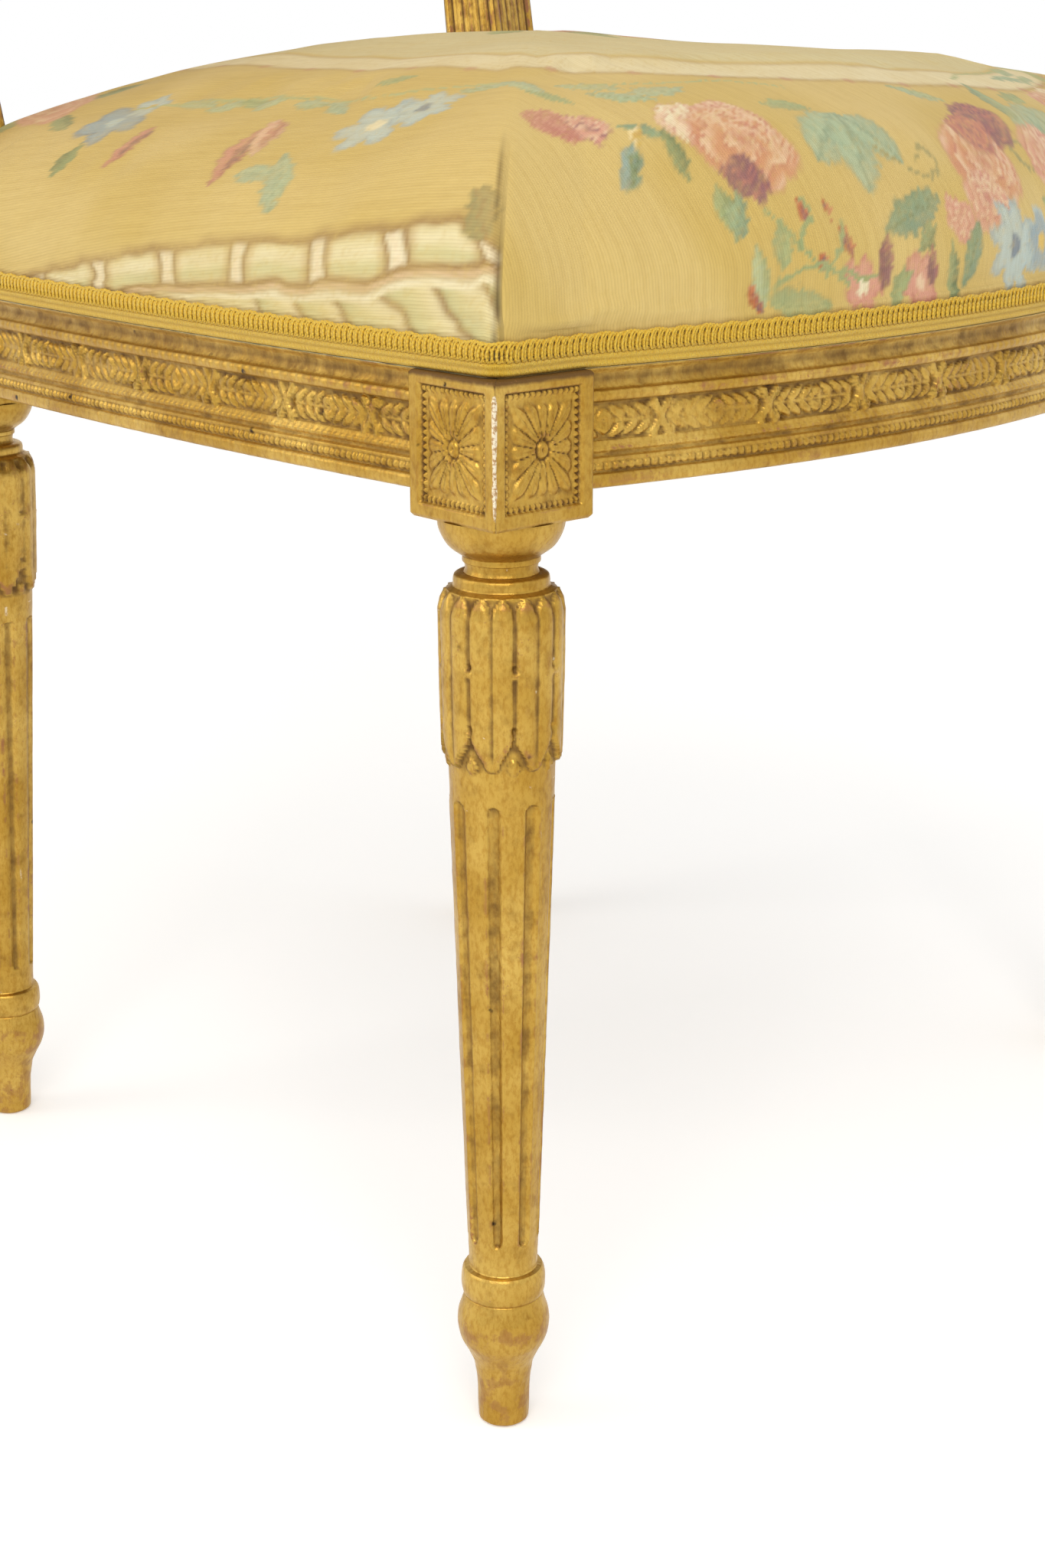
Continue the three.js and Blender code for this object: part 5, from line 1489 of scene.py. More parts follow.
def weave_seat(cloth, look):
    """The seat's pattern: a pale ground, a garland of roses round the field, a scroll border.

    It follows the common flower garlands of eighteenth-century tapestry upholstery, drawn
    here from plain formulas: swirled roses, five-petalled flowers, pointed leaves.
    """
    w = wools(look)
    x, y = cloth[..., 0], cloth[..., 1]
    weaver = Weaver(x, y, w["ground"])
    x, y = x.reshape(-1), y.reshape(-1)
    warp_x = x + 2.6 * (value_noise(x / 9, y / 9, seed=23.0) - 0.5)
    warp_y = y + 2.6 * (value_noise(x / 9, y / 9, seed=24.0) - 0.5)
    smooth_x, smooth_y = warp_x, warp_y
    warp_x = warp_x + 1.1 * (value_noise(x / 1.4, y / 1.4, seed=25.0) - 0.5)
    warp_y = warp_y + 3.4 * (value_noise(x / 1.3, y / 9, seed=26.0) - 0.5)
    weaver.x, weaver.y = warp_x, warp_y
    patch = value_noise(x / 38, y / 38, seed=21.0)
    weaver.lay(slice(None), smoothstep(0.35, 0.8, patch) * 0.35, w["straw"])
    far, way, side = distance_to(x, y, MEDALLION_LINE)
    inner = side > 0
    weaver.lay(slice(None), smoothstep(22, 19, far) * inner * 0.7, w["cream"])
    weaver.lay(slice(None), ridge(far, 1.8) * 0.65, w["umber"])
    weaver.lay(slice(None), ridge(far - 20.0, 1.6) * inner * 0.45, w["umber"])
    knot = np.abs((way / 32.0) % 1 - 0.5) * 32.0
    weaver.lay(slice(None), smoothstep(3.4, 1.6, np.hypot(knot, far)) * 0.5, w["rose"])
    weaver.lay(slice(None), smoothstep(21, 26, far) * inner * 0.3, w["pale"])
    weaver.lay(slice(None), smoothstep(21, 26, far) * inner * 0.35, w["cream"])
    for hand in (1, -1):
        side_border(weaver, w, smooth_x, smooth_y, hand)
    lay_blooms(weaver, w, SIDE_BLOOMS, 1)
    lay_blooms(weaver, w, SIDE_BLOOMS, -1)
    for hand in (1, -1):
        stems(weaver, w, hand)
    lay_blooms(weaver, w, FRONT_BLOOMS, 1)
    back_blooms(weaver, w)
    for hand in (1, -1):
        weaver.leaf(-246 * hand, -207, 24, 12, math.radians(50 if hand > 0 else 130), w["olive"], w["umber"])
    fade = 0.04 + 0.14 * smoothstep(-175, -140, y)
    fade = fade + 0.24 * smoothstep(0.55, 0.95, value_noise(x / 1.1, y / 1.1, seed=27.0))
    weaver.lay(slice(None), fade, w["ground"])
    return weaver.sheet()


def stems(weaver, w, hand):
    """Thin stalks that join the garland's blooms."""
    for points, tone in (
        ([(-160, 52), (-158, 10), (-160, -40), (-168, -90), (-160, -140)], "sage"),
        ([(-136, -240), (-130, -257), (-120, -268), (-112, -276)], "green"),
        ([(-130, -257), (-118, -250), (-117, -243)], "green"),
        ([(-120, -268), (-108, -262), (-104, -256)], "green"),
        ([(-150, -266), (-132, -264), (-118, -270), (-96, -278)], "green"),
        ([(-60, -232), (-52, -241), (-44, -248), (-36, -249), (-30, -243), (-35, -238), (-41, -241)], "olive"),
        ([(-150, -160), (-120, -168), (-84, -176), (-60, -190)], "sage"),
    ):
        weaver.stem([(a * hand, b) for a, b in points], 1.3, w[tone])


def back_blooms(weaver, w):
    """The unseen rear of the garland and the posy in the middle of the seat."""
    for i, (x, y, size, kind) in enumerate((
        (-150, 110, 17, "rose"), (-110, 168, 15, "pink"), (-62, 176, 18, "dark"), (0, 180, 21, "rose"),
        (62, 176, 18, "dark"), (110, 168, 15, "blue"), (150, 110, 17, "rose"), (33, 0, 30, "rose"),
        (-6, -22, 22, "dark"), (70, -18, 20, "blue"), (60, 30, 18, "pink"), (4, 34, 20, "blue"),
        (34, -46, 16, "pink"), (34, 64, 15, "dark"), (-34, 10, 14, "pink"), (100, 12, 13, "rose"),
    )):
        spray(weaver, w, x, y, i * 1.9, size, kind)


# Gimp

def outward_of(path):
    """Unit vectors square to a level path, to its right."""
    along = unit(np.gradient(path, axis=0))
    return np.stack([along[:, 1], -along[:, 0]], axis=1)


def gimp_strip(parts, place_at, length, pitch, low, high, loop_steps, step):
    """Scroll gimp: a plaited band under a row of interlaced cord scrolls.

    place_at(s, out, up) puts a point at a way along, a distance out and a height. The band
    is two plaits of floss; above it two cords run in overlapping loops, half a pitch apart.
    """
    loops = int(round(length / pitch))
    pitch = length / loops
    tall = high - low
    edge = low + tall * 0.42
    n = int(length / step)
    s = np.linspace(0, length, n)
    v = np.linspace(0, 1, 9)
    ss, vv = np.meshgrid(s, v, indexing="ij")
    plait = np.abs(np.sin((ss / pitch + np.where(vv < 0.5, vv, 1 - vv) * 1.4) * TAU * 0.75))
    rib = np.abs(np.sin(vv * TAU))
    out = 0.55 + 0.75 * rib * (0.55 + 0.45 * plait)
    out = np.where((vv < 0.01) | (vv > 0.99), 0.0, out)
    up = low + (edge - low) * vv
    # Painted shade between the plait's ribs and strands.
    shade = np.clip(1 - rib * (0.5 + 0.5 * plait), 0, 1) * 0.75
    band = place_at(ss, out, up)
    back = place_at(ss[:, ::8], np.full_like(ss[:, ::8], -0.15), up[:, ::8])
    parts.grid(band, flip=True, recess=shade, turn=ss)
    parts.grid(back, recess=0.5, turn=ss[:, ::8])
    for phase, stand in ((0.0, 0.55), (0.5, 0.95)):
        steps = loops * loop_steps + 1
        phi = np.linspace(0, loops, steps)
        angle = (phi + phase) * TAU
        way = phi * pitch - pitch * 0.5 * np.sin(angle)
        way = np.clip(way, 0, length)
        rise = edge - 0.2 + (high - 0.5 - edge) * (0.5 - 0.5 * np.cos(angle)) * (1.0 + 0.05 * np.sin(phi * 1.7))
        lift = stand + 0.35 * np.sin(angle)
        path = place_at(way, lift, rise)
        turn = np.repeat((phi * pitch * 2.6)[:, None], 5, axis=1)
        # Painted shade on the cords where they dip down to the band.
        low_shade = smoothstep(edge + 1.2, edge - 0.3, rise)[:, None] * np.ones((1, 5))
        cord = sweep(path, circle_section(0.52, 5), up=(0.3, 0.2, 1))
        parts.bar(cord, True, recess=low_shade * 0.6, turn=turn)


def path_placer(path):
    """A function that puts gimp points beside a level path, outwards and up; and its length."""
    length = way_along(path)
    outward = outward_of(path)

    def place_at(s, out, up):
        point = np.stack([np.interp(s, length, path[:, k]) for k in (0, 1)], axis=-1)
        side = np.stack([np.interp(s, length, outward[:, k]) for k in (0, 1)], axis=-1)
        point = point + side * np.asarray(out)[..., None]
        return np.concatenate([point, np.asarray(up)[..., None] * np.ones((*point.shape[:-1], 1))], axis=-1)

    return place_at, length[-1]


def seat_gimps(look, mats):
    """The gimp round the front and sides of the seat, and a short one between the back posts."""
    outline = seat_outline(COVER_INSET - 0.35, 1.0)
    n = len(outline)
    lead = int(np.argmin(np.abs(outline[:n // 2, 1] - (BACK_Y - POST_HALF - 1.2))
                         + (outline[:n // 2, 0] < BACK_X) * 1000))
    right = outline[:lead]
    left = right[1:][::-1] * np.array([-1, 1])
    x = BACK_X - POST_HALF - 1.2
    short = np.stack([np.linspace(x, -x, 60), np.full(60, BACK_Y + POST_HALF - COVER_INSET + 0.35)], axis=1)
    for path, name, steps in ((np.vstack([left, right]), "seat", (13, 0.6)), (short, "seat_back", (8, 1.3))):
        parts = Parts()
        pitch = look.gimp_pitch
        gimp_strip(parts, *path_placer(path), pitch, RAIL_REBATE + 0.5, RAIL_TOP + 0.3, *steps)
        node = name.replace("seat", "seat_gimp")
        finish(parts, f"scroll_gimp_{name}", node, "gimp_braid", mats)


# Back posts

def stile_centre(z):
    """The middle of a right-hand stile at each height."""
    share = (z - RAIL_REBATE) / (STILE_TOP - RAIL_REBATE)
    x = BACK_X + STILE_SPREAD * share ** 2
    y = BACK_Y + np.clip(z - RAIL_TOP, 0, None) * math.tan(LEAN)
    return x, y, share


def stile_grid():
    """The stile: a square post narrowing upwards, a sunk reeded panel on each of its sides."""
    z = np.concatenate([
        np.linspace(379.6, 392, 10, endpoint=False), np.linspace(392, 420, 26, endpoint=False),
        np.linspace(420, 600, 40, endpoint=False), np.linspace(600, 645, 26),
    ])
    per = 26
    a = np.linspace(-1, 1, per, endpoint=False)
    x0, y0, share = stile_centre(z)
    half = (STILE_SIDE + (STILE_TOP_SIDE - STILE_SIDE) * share) / 2
    turn = SIDE_TURN * (1 - share)
    rows = []
    heights = []
    for side in range(4):
        zz, aa = np.meshgrid(z, a, indexing="ij")
        h = half[:, None]
        across = aa * h
        edge = h - np.abs(across)
        panel = smoothstep(4.0, 5.0, edge) * smoothstep(398, 402, zz) * smoothstep(628, 622, zz)
        reed = 0.8 * np.abs(np.cos(across / 3.3 * np.pi)) * smoothstep(5.0, 5.8, edge)
        round_off = 1.6 * (1 - np.sqrt(np.clip(1 - np.clip(1.8 - edge, 0, 1.8) ** 2 / 3.3, 0, 1)))
        relief = panel * (reed - 1.4) - round_off * 0.5
        out = h + relief
        angle = (side * TAU / 4 + turn)[:, None]
        x = out * np.cos(angle) - across * np.sin(angle) + x0[:, None]
        y = out * np.sin(angle) + across * np.cos(angle) + y0[:, None]
        rows.append(np.stack([x, y, zz], axis=-1))
        heights.append(relief)
    return np.concatenate(rows, axis=1), np.concatenate(heights, axis=1)


def back_post(hand, look, mats):
    """A back post in one piece: raked turned leg, block and leaning stile."""
    parts = Parts()
    place_point = post_frame(BACK_Y, BACK_X)
    leg_parts(parts, place_point, hand, 66, BACK_RAKE, (0,), RAIL_REBATE - 0.2, True)
    grid, height = stile_grid()
    # Dust and painted shade in the reeded panels' recesses, with a little more brown over the whole stile.
    recess, rub = cavity(height, 4, 3, 0.9, wrap_cols=True)
    put_pair(parts, grid, hand, recess + 0.1, rub)
    name = "back_post_" + SIDES[hand]
    finish(parts, f"carved_{name}", name, "giltwood", mats)


# Medallion back

def lean_back(points):
    """From the medallion's own plane, x right, y depth and z up, to its place on the chair."""
    c, s = math.cos(LEAN), math.sin(LEAN)
    x, y, z = points[..., 0], points[..., 1], points[..., 2]
    return np.stack([x, y * c + z * s + OVAL_Y, -y * s + z * c + OVAL_CENTRE], axis=-1)


ARCS = {
    "medallion_crest": (50, 130), "medallion_side_left": (130, 230),
    "medallion_base": (230, 310), "medallion_side_right": (310, 410),
}


def medallion_arc(name, look, mats):
    """One arc of the oval frame: a hollow, a twisted ribbon and a row of pearls round the opening."""
    start, end = ARCS[name]
    gap = 0.04
    count = int((end - start) * 2.4)
    angle = np.radians(np.linspace(start + gap, end - gap, count))
    w, d = FRAME_WIDTH / 2, FRAME_DEPTH / 2
    shape = [
        (-0.45, -0.45), (-0.45, -0.9), (-0.38, -0.97), (-0.2, -0.97), (-0.12, -0.9), (-0.08, -0.82),
        (0.0, -0.8), (0.2, -0.84), (0.42, -0.84), (0.5, -0.88), (0.55, -0.97), (0.7, -0.97),
        (0.88, -0.86), (0.98, -0.6), (1.0, -0.3), (1.0, 0.6), (0.9, 0.9), (0.75, 1.0), (-0.45, 1.0),
        (-0.5, 0.95), (-0.5, 0.5), (-1.0, 0.5), (-1.0, -0.45),
    ]
    section = np.array(shape) * np.array([w, d])
    section = resample(section, 95, closed=True)
    u = np.repeat(section[:, :1], count, axis=1)
    v = np.repeat(section[:, 1:], count, axis=1)
    theta = np.broadcast_to(angle, u.shape)
    s = theta * OVAL_RADIUS
    front = smoothstep(-9.5, -11.0, v)
    pearl = np.hypot(((s / 4.4) % 1 - 0.5) * 4.4, u + 5.6)
    beads = 1.3 * np.sqrt(np.clip(1 - (pearl / 1.9) ** 2, 0, 1))
    twist = np.abs(np.sin((s / 11.0 + (u - 4.6) * 0.11) * np.pi))
    ribbon = (0.6 + 1.3 * twist ** 0.7) * smoothstep(4.4, 3.6, np.abs(u - 4.2))
    relief = front * np.maximum(beads, ribbon)
    crest = 0.0
    if name == "medallion_crest":
        near = np.abs(theta - TAU / 4) * OVAL_RADIUS
        crest = bow_crest(theta, u, near) * front
        relief = np.where(near < 62, np.maximum(crest, relief * smoothstep(46, 62, near)), relief)
    radial = OVAL_RADIUS + u
    points = np.stack([radial * np.cos(theta), v - relief, radial * np.sin(theta)], axis=-1)
    recess, rub = cavity(relief, 4, 3, 1.0)
    parts = Parts()
    grid = lean_back(points)
    # Painted shade on the frame's inner edge next to the cover and in the groove beside the pearls, over the dust
    # and painted shade in the recesses.
    side = np.clip(recess + (u < -8) * 0.5 + ridge(u + 3, 1.2) * front * 0.5, 0, 1)
    parts.grid(grid, wrap_rows=True, flip=True, recess=side, rub=rub * 0.7)
    parts.cap(grid[:, 0], flip=True)
    parts.cap(grid[:, -1])
    finish(parts, f"carved_{name}", name, "giltwood", mats)


def bow_crest(theta, u, near):
    """A ribbon bow at the top of the oval: two loops, two tails and a knot, with folds."""
    side = (theta - TAU / 4) * OVAL_RADIUS
    x = np.abs(side)
    y = u
    loop = np.hypot((x - 17) / 15, (y - 1.5) / 10.5)
    fold = 0.5 + 0.5 * np.cos(np.arctan2(y - 1.5, x - 17) * 5)
    height = smoothstep(1.02, 0.88, loop) * smoothstep(0.42, 0.6, loop) * (2.2 + 0.9 * fold)
    tail = smoothstep(4.6, 3.6, np.abs(y + 3 + 2.6 * np.sin(x / 9))) * smoothstep(58, 52, x) * (x > 6)
    height = np.maximum(height, tail * (1.6 + 0.6 * np.cos(x / 5)))
    knot = dome(np.hypot(x, y - 1) * 0.75, 4.4) * 0.8
    return np.maximum(height, knot)


BACK_SLACK = 10.0


def oval_disc(inset, profile, rings, around=420):
    """A padded oval: rings drawn in from the frame's opening, given as shares and depths."""
    curve = smooth_profile(profile, 16) * np.array([OVAL_RADIUS - inset, 1.0])
    curve = resample(curve, rings)
    theta = np.linspace(0, TAU, around, endpoint=False)
    radius = curve[:, :1]
    x = radius * np.cos(theta)
    z = radius * np.sin(theta)
    y = np.broadcast_to(curve[:, 1:], x.shape)
    return np.stack([x, y, z], axis=-1), theta


def back_cover(look, mats):
    """The inside back's tapestry: a domed oval with a posy inside a wreath."""
    rise = -(14 + PAD_RISE)
    base = -14.0
    lift = lambda share: base + (rise - base) * share
    profile = [
        (1.0, -8.6), (1.0, -8.6), (1.0, lift(0.0)), (1.0, lift(0.3)), (0.985, lift(0.5)),
        (0.94, lift(0.68)), (0.82, lift(0.85)), (0.55, lift(0.97)), (0.15, lift(1.0)), (0.004, lift(1.0)),
    ]
    local, theta = oval_disc(7.95, profile, 124, 400)
    slow = value_noise(local[..., 0] / 50, local[..., 2] / 50, seed=31.0) - 0.5
    local[..., 1] -= slow * 1.6 * smoothstep(-20, -34, local[..., 1])
    slack = np.clip((base - local[..., 1:2]) / (base - rise), 0, 1) * np.array([0, -BACK_SLACK, 0])
    local = blow_up(local, local[..., 1] > -16, 2.5, slack)
    step = np.linalg.norm(np.diff(local, axis=0), axis=-1)
    way = np.concatenate([np.zeros((1, local.shape[1])), np.cumsum(step, axis=0)])
    way = way[-1] - way
    cloth = np.stack([way * np.cos(theta), way * np.sin(theta)], axis=-1)
    grid, paint = lean_back(local), weave_back(cloth, look)
    cover("tapestry_back_cover", "back_cover", grid, level(cloth), paint, 0.85, mats, True, seam=0.0)


def weave_back(cloth, look):
    """The back's pattern: a wreath near the rim round a central posy."""
    w = wools(look)
    x, y = cloth[..., 0], cloth[..., 1]
    weaver = Weaver(x, y, w["ground"])
    far = np.hypot(x, y)
    weaver.band(far, 196, 203, w["ochre"], share=0.8)
    weaver.band(far, 188, 191, w["brown"], share=0.6)
    for i in range(30):
        angle = i / 30 * TAU
        r = 168 + 4 * math.sin(i * 2.3)
        kind = ("rose", "blue", "pink", "dark", "pink")[i % 5]
        spray(weaver, w, r * math.cos(angle), r * math.sin(angle), angle + 1.7, 9 + 3 * (i % 3), kind)
    for x0, y0, size, turn, kind in (
        (0, 10, 26, 0.3, "rose"), (-34, -8, 19, 2.0, "dark"), (30, -14, 20, 5.1, "rose"),
        (-18, 42, 14, 1.2, "pink"), (26, 40, 13, 0.7, "blue"), (0, -42, 15, 4.4, "blue"),
        (-52, 28, 11, 2.7, "blue"), (54, 20, 12, 0.2, "pink"), (-44, -44, 11, 3.6, "pink"),
        (46, -46, 12, 5.6, "dark"), (0, 74, 11, 1.57, "pink"),
    ):
        spray(weaver, w, x0, y0, turn, size, kind)
    return weaver.sheet()


def outer_back(look, mats):
    """The outside back: plain tapestry ground over the frame, sewn down inside its edge."""
    profile = [
        (1.0, 7.4), (1.0, 7.4), (1.0, 12.5), (0.995, 14.3), (0.97, 15.6), (0.8, 18.2), (0.5, 20.2),
        (0.2, 20.9), (0.004, 21.0),
    ]
    local, theta = oval_disc(8.8, profile, 40, 180)
    way = np.hypot(local[..., 0], local[..., 2])
    cloth = np.stack([way * np.cos(theta), way * np.sin(theta)], axis=-1)
    w = wools(look)
    weaver = Weaver(cloth[..., 0], cloth[..., 1], w["ground"])
    weaver.band(way, 176, 181, w["ochre"], share=0.7)
    grid = lean_back(local)
    cover("tapestry_outer_back", "outer_back_cover", grid, level(cloth), weaver.sheet(), 0.5, mats)


def back_gimps(look, mats):
    """Gimp where the inside and outside back covers meet the frame."""
    for name, radius, depth, facing in (("inside", 201.6, -14.4, -1), ("outside", 200.8, 14.6, 1)):
        def place_at(s, out, up, r=radius, d=depth, f=facing):
            angle = np.asarray(s) / r
            reach = r - up
            local = np.stack([reach * np.cos(angle), d + f * out + 0 * angle, reach * np.sin(angle)], axis=-1)
            return lean_back(local)

        parts = Parts()
        gimp_strip(parts, place_at, TAU * radius, look.gimp_pitch * 1.25, 0.0, 8.5, 8, 1.3)
        finish(parts, f"scroll_gimp_back_{name}", None, "gimp_braid", mats)


# Arms

def arm_curve(count):
    """The middle line of the right arm."""
    shares = [(0, 0, 0), (0.3, 0.2, 0.15), (0.7, 0.55, 0.8), (0.95, 0.82, 1.1), (1, 1, 1)]
    start = np.array([
        OVAL_RADIUS + FRAME_WIDTH / 4, BACK_Y + (ARM_HEIGHT - RAIL_TOP) * math.tan(LEAN), ARM_HEIGHT,
    ])
    reach = np.array([ARM_FLARE, -ARM_REACH, -ARM_DROP])
    return resample(smooth_profile(start + np.array(shares) * reach, 30), count)


def carved_bar(path, section, leaf_pitch, scale=None):
    """A bar with a rounded section, its upper and outer sides cut with running leaves."""
    s = way_along(path)
    angle = np.arctan2(section[:, 1], section[:, 0])
    ss, aa = np.meshgrid(s, angle, indexing="ij")
    leaf = np.abs(np.sin(ss / leaf_pitch * np.pi + 2.2 * np.abs(np.sin(aa))))
    flank = ridge(np.sin(aa), 0.62)
    relief = 0.75 * leaf ** 0.6 * flank - 0.5 * flank
    grown = section[None] + unit(section)[None] * relief[..., None]
    return sweep(path, grown, scale), relief


def arm(hand, look, mats):
    """An arm: a moulded bar sweeping out from the oval, ending in a scroll."""
    path = arm_curve(156)
    path = np.vstack([path[0] + (path[0] - path[1]) * np.array([[2], [1]]), path])
    section = rounded_section(ARM_WIDTH, ARM_DEPTH, 7.0, 9)
    section = resample(section, 71, closed=True)
    grid, relief = carved_bar(path, section, 9.0)
    # Dust and painted shade in the recesses of the carved leaves.
    recess, rub = cavity(relief, 4, 4, 0.7, wrap_cols=True)
    parts = Parts()
    put_pair(parts, grid, hand, recess, rub)
    end = path[-1]
    around = np.arange(120) / 120 * TAU
    width = ARM_WIDTH / 2 + 0.6
    across = np.concatenate([
        np.full(40, -width), np.linspace(-width, width, 30), np.full(40, width),
    ])
    radius = np.concatenate([
        np.linspace(0.3, SCROLL_RADIUS - 0.4, 40), np.full(30, SCROLL_RADIUS),
        np.linspace(SCROLL_RADIUS - 0.4, 0.3, 40),
    ])
    rr = np.repeat(radius[:, None], 120, axis=1)
    aa = np.broadcast_to(around, rr.shape)
    face = np.repeat((np.abs(across) > width - 0.01)[:, None], 120, axis=1)
    spiral = (rr / 6.2 - aa / TAU) % 1
    cut = np.where(face, -1.5 * ridge(spiral - 0.5, 0.16) + dome(rr, 4.2) * 0.5, 0)
    side = np.sign(across)[:, None]
    rim = np.where(face, 0, -0.8 * np.abs(np.sin(aa * 12)) ** 2 * (1 - (across[:, None] / width) ** 8))
    xx = across[:, None] + side * cut * face
    rr = rr + rim
    centre = end + np.array([0, 0, ARM_DEPTH / 2 - SCROLL_RADIUS])
    scroll = np.stack([
        centre[0] + xx, centre[1] + rr * np.cos(aa), centre[2] + rr * np.sin(aa),
    ], axis=-1)
    # Dust and painted shade in the scroll's spiral cut and the grooves of its rim.
    low, high = cavity(np.where(face, cut, rim), 3, 3, 0.8, wrap_cols=True)
    put_pair(parts, scroll, -hand, low, high)
    name = "arm_" + SIDES[hand]
    finish(parts, f"carved_{name}", name, "giltwood", mats)


def put_pair(parts, grid, hand, recess, rub):
    """A capped bar on the right, or mirrored on the left."""
    if hand < 0:
        grid = mirror_x(grid)
    parts.bar(grid, hand > 0, recess=recess, rub=rub)


def console_curve(count):
    """The middle line of the right console, from its stile up to the arm."""
    x, y, _ = stile_centre(np.array([CONSOLE_FOOT]))
    foot = np.array([x[0], y[0], CONSOLE_FOOT])
    arm_path = arm_curve(400)
    head = arm_path[int(0.78 * 399)]
    shares = np.array([(0, 0, 0), (0.28, 0.18, 0.04), (0.62, 0.5, 0.3), (0.86, 0.82, 0.7), (1, 1, 1)])
    return resample(smooth_profile(foot + shares * (head - foot), 30), count)


def console(hand, look, mats):
    """A curved console under the arm, narrower in the middle, cut with running leaves."""
    path = console_curve(150)
    path = path[6:-5]
    section = rounded_section(CONSOLE_WIDTH, CONSOLE_WIDTH, 5.0, 7)
    section = resample(section, 71, closed=True)
    share = np.linspace(0, 1, len(path))
    scale = 1 - 0.25 * np.sin(np.pi * share)
    grid, relief = carved_bar(path, section, 11.0, np.stack([scale, scale], axis=1))
    # Dust and painted shade in the recesses of the carved leaves.
    recess, rub = cavity(relief, 4, 4, 0.7, wrap_cols=True)
    parts = Parts()
    put_pair(parts, grid, hand, recess, rub)
    name = "arm_console_" + SIDES[hand]
    finish(parts, f"carved_{name}", name, "giltwood", mats)


def arm_pad(hand, look, mats):
    """A manchette: a small stuffed pad on the arm, with gimp round its foot."""
    path = arm_curve(400)
    total = way_along(path)[-1]
    s = np.linspace(0, total, 400)
    start = ARM_PAD_START * total
    count = 150
    way = np.linspace(start, start + ARM_PAD_LENGTH, count)
    line = np.stack([np.interp(way, s, path[:, k]) for k in range(3)], axis=1)
    share = np.linspace(0, 1, count)
    full = 0.6 + 0.4 * (1 - np.abs(2 * share - 1) ** 8)
    closing = np.sqrt(np.clip(1 - np.clip(np.abs(2 * share - 1) - 0.9, 0, 0.1) ** 2 / 0.0101, 0, 1))
    shape = [(1, 0), (1, 0.55), (0.86, 0.8), (0.55, 0.95), (0, 1), (-0.55, 0.95), (-0.86, 0.8),
             (-1, 0.55), (-1, 0), (0, 0)]
    section = resample(smooth_profile(shape[:9], 12), 89, closed=True)
    half = ARM_PAD_WIDTH / 2
    scaled = section[None] * np.array([half, ARM_PAD_RISE])
    tall = (full * (0.55 + 0.45 * closing))[:, None]
    sec = np.stack([scaled[..., 0] * full[:, None], scaled[..., 1] * tall], axis=-1)
    sec[..., 1] += ARM_DEPTH / 2 + 0.3
    grid = sweep(line, sec)
    foot = np.broadcast_to(section[:, 1] < 0.3, grid.shape[:2]) | (closing < 0.8)[:, None]
    grid = blow_up(grid, foot, 1.2, (grid - line[:, None]) * 0.03)
    around = way_along(section * half)
    cloth = np.stack(np.meshgrid(way, around - around.mean(), indexing="ij"), axis=-1)
    w = wools(look)
    weaver = Weaver(cloth[..., 0], cloth[..., 1], w["ground"])
    middle = start + ARM_PAD_LENGTH / 2
    top = np.argmax(section[:, 1])
    ridge_at = around[top] - around.mean()
    for x, y, turn, size, kind in (
        (0, 0, 0.2, 11, "rose"), (-42, 3, 2.0, 8, "blue"), (42, -3, 4.0, 8, "pink"),
        (-20, -22, 1.0, 7, "pink"), (22, 22, 5.0, 7, "dark"),
    ):
        spray(weaver, w, middle + x, ridge_at + y, turn, size, kind)
    paint, threads_at = weaver.sheet(), level(cloth)
    if hand < 0:
        grid = mirror_x(grid)
    ring = lambda g, row: np.vstack([g[row], g[row].mean(axis=0)])
    ends = [{"woven": ring(paint, row), "cloth": ring(threads_at, row)} for row in (0, -1)]
    parts = Parts()
    parts.bar(grid, hand > 0, ends, woven=paint, cloth=threads_at)
    name = "arm_pad_" + SIDES[hand]
    finish(parts, f"tapestry_{name}", name, "tapestry", mats)
    pad_gimp(hand, line, full, look, mats)


def pad_gimp(hand, line, full, look, mats):
    """Scroll gimp round the foot of an arm pad."""
    along = unit(np.gradient(line, axis=0))
    side = unit(np.cross(along, np.array([0.0, 0.0, 1.0])))
    rise = np.cross(side, along)
    foot = line + rise * (ARM_DEPTH / 2 + 0.3)
    edge = ARM_PAD_WIDTH / 2 * full[:, None]
    loop = np.vstack([foot + side * edge, (foot - side * edge)[::-1]])
    loop = resample(np.vstack([loop, loop[:1]]), 500)
    length = way_along(loop)
    middle = loop.mean(axis=0)
    outward = outward_of(loop[:, :2])
    if np.mean(np.sum(outward * (loop[:, :2] - middle[:2]), axis=1)) < 0:
        outward = -outward

    def place_at(s, out, up):
        point = np.stack([np.interp(s, length, loop[:, k]) for k in range(3)], axis=-1)
        push = np.stack([np.interp(s, length, outward[:, k]) for k in (0, 1)], axis=-1)
        point[..., :2] += push * np.asarray(out)[..., None]
        point[..., 2] += up
        return mirror_x(point) if hand < 0 else point

    parts = Parts()
    gimp_strip(parts, place_at, length[-1], look.gimp_pitch, 0.2, 7.0, 10, 0.6)
    finish(parts, "scroll_gimp_arm_" + SIDES[hand], "arm_gimp_" + SIDES[hand], "gimp_braid", mats)


# Stage

CAMERA_SPOT = (-0.8212, -0.7046, 0.490)
CAMERA_HEADING = (0.766, 0.643)
CAMERA_PITCH = math.radians(17.5)
CAMERA_LENS = 56.25


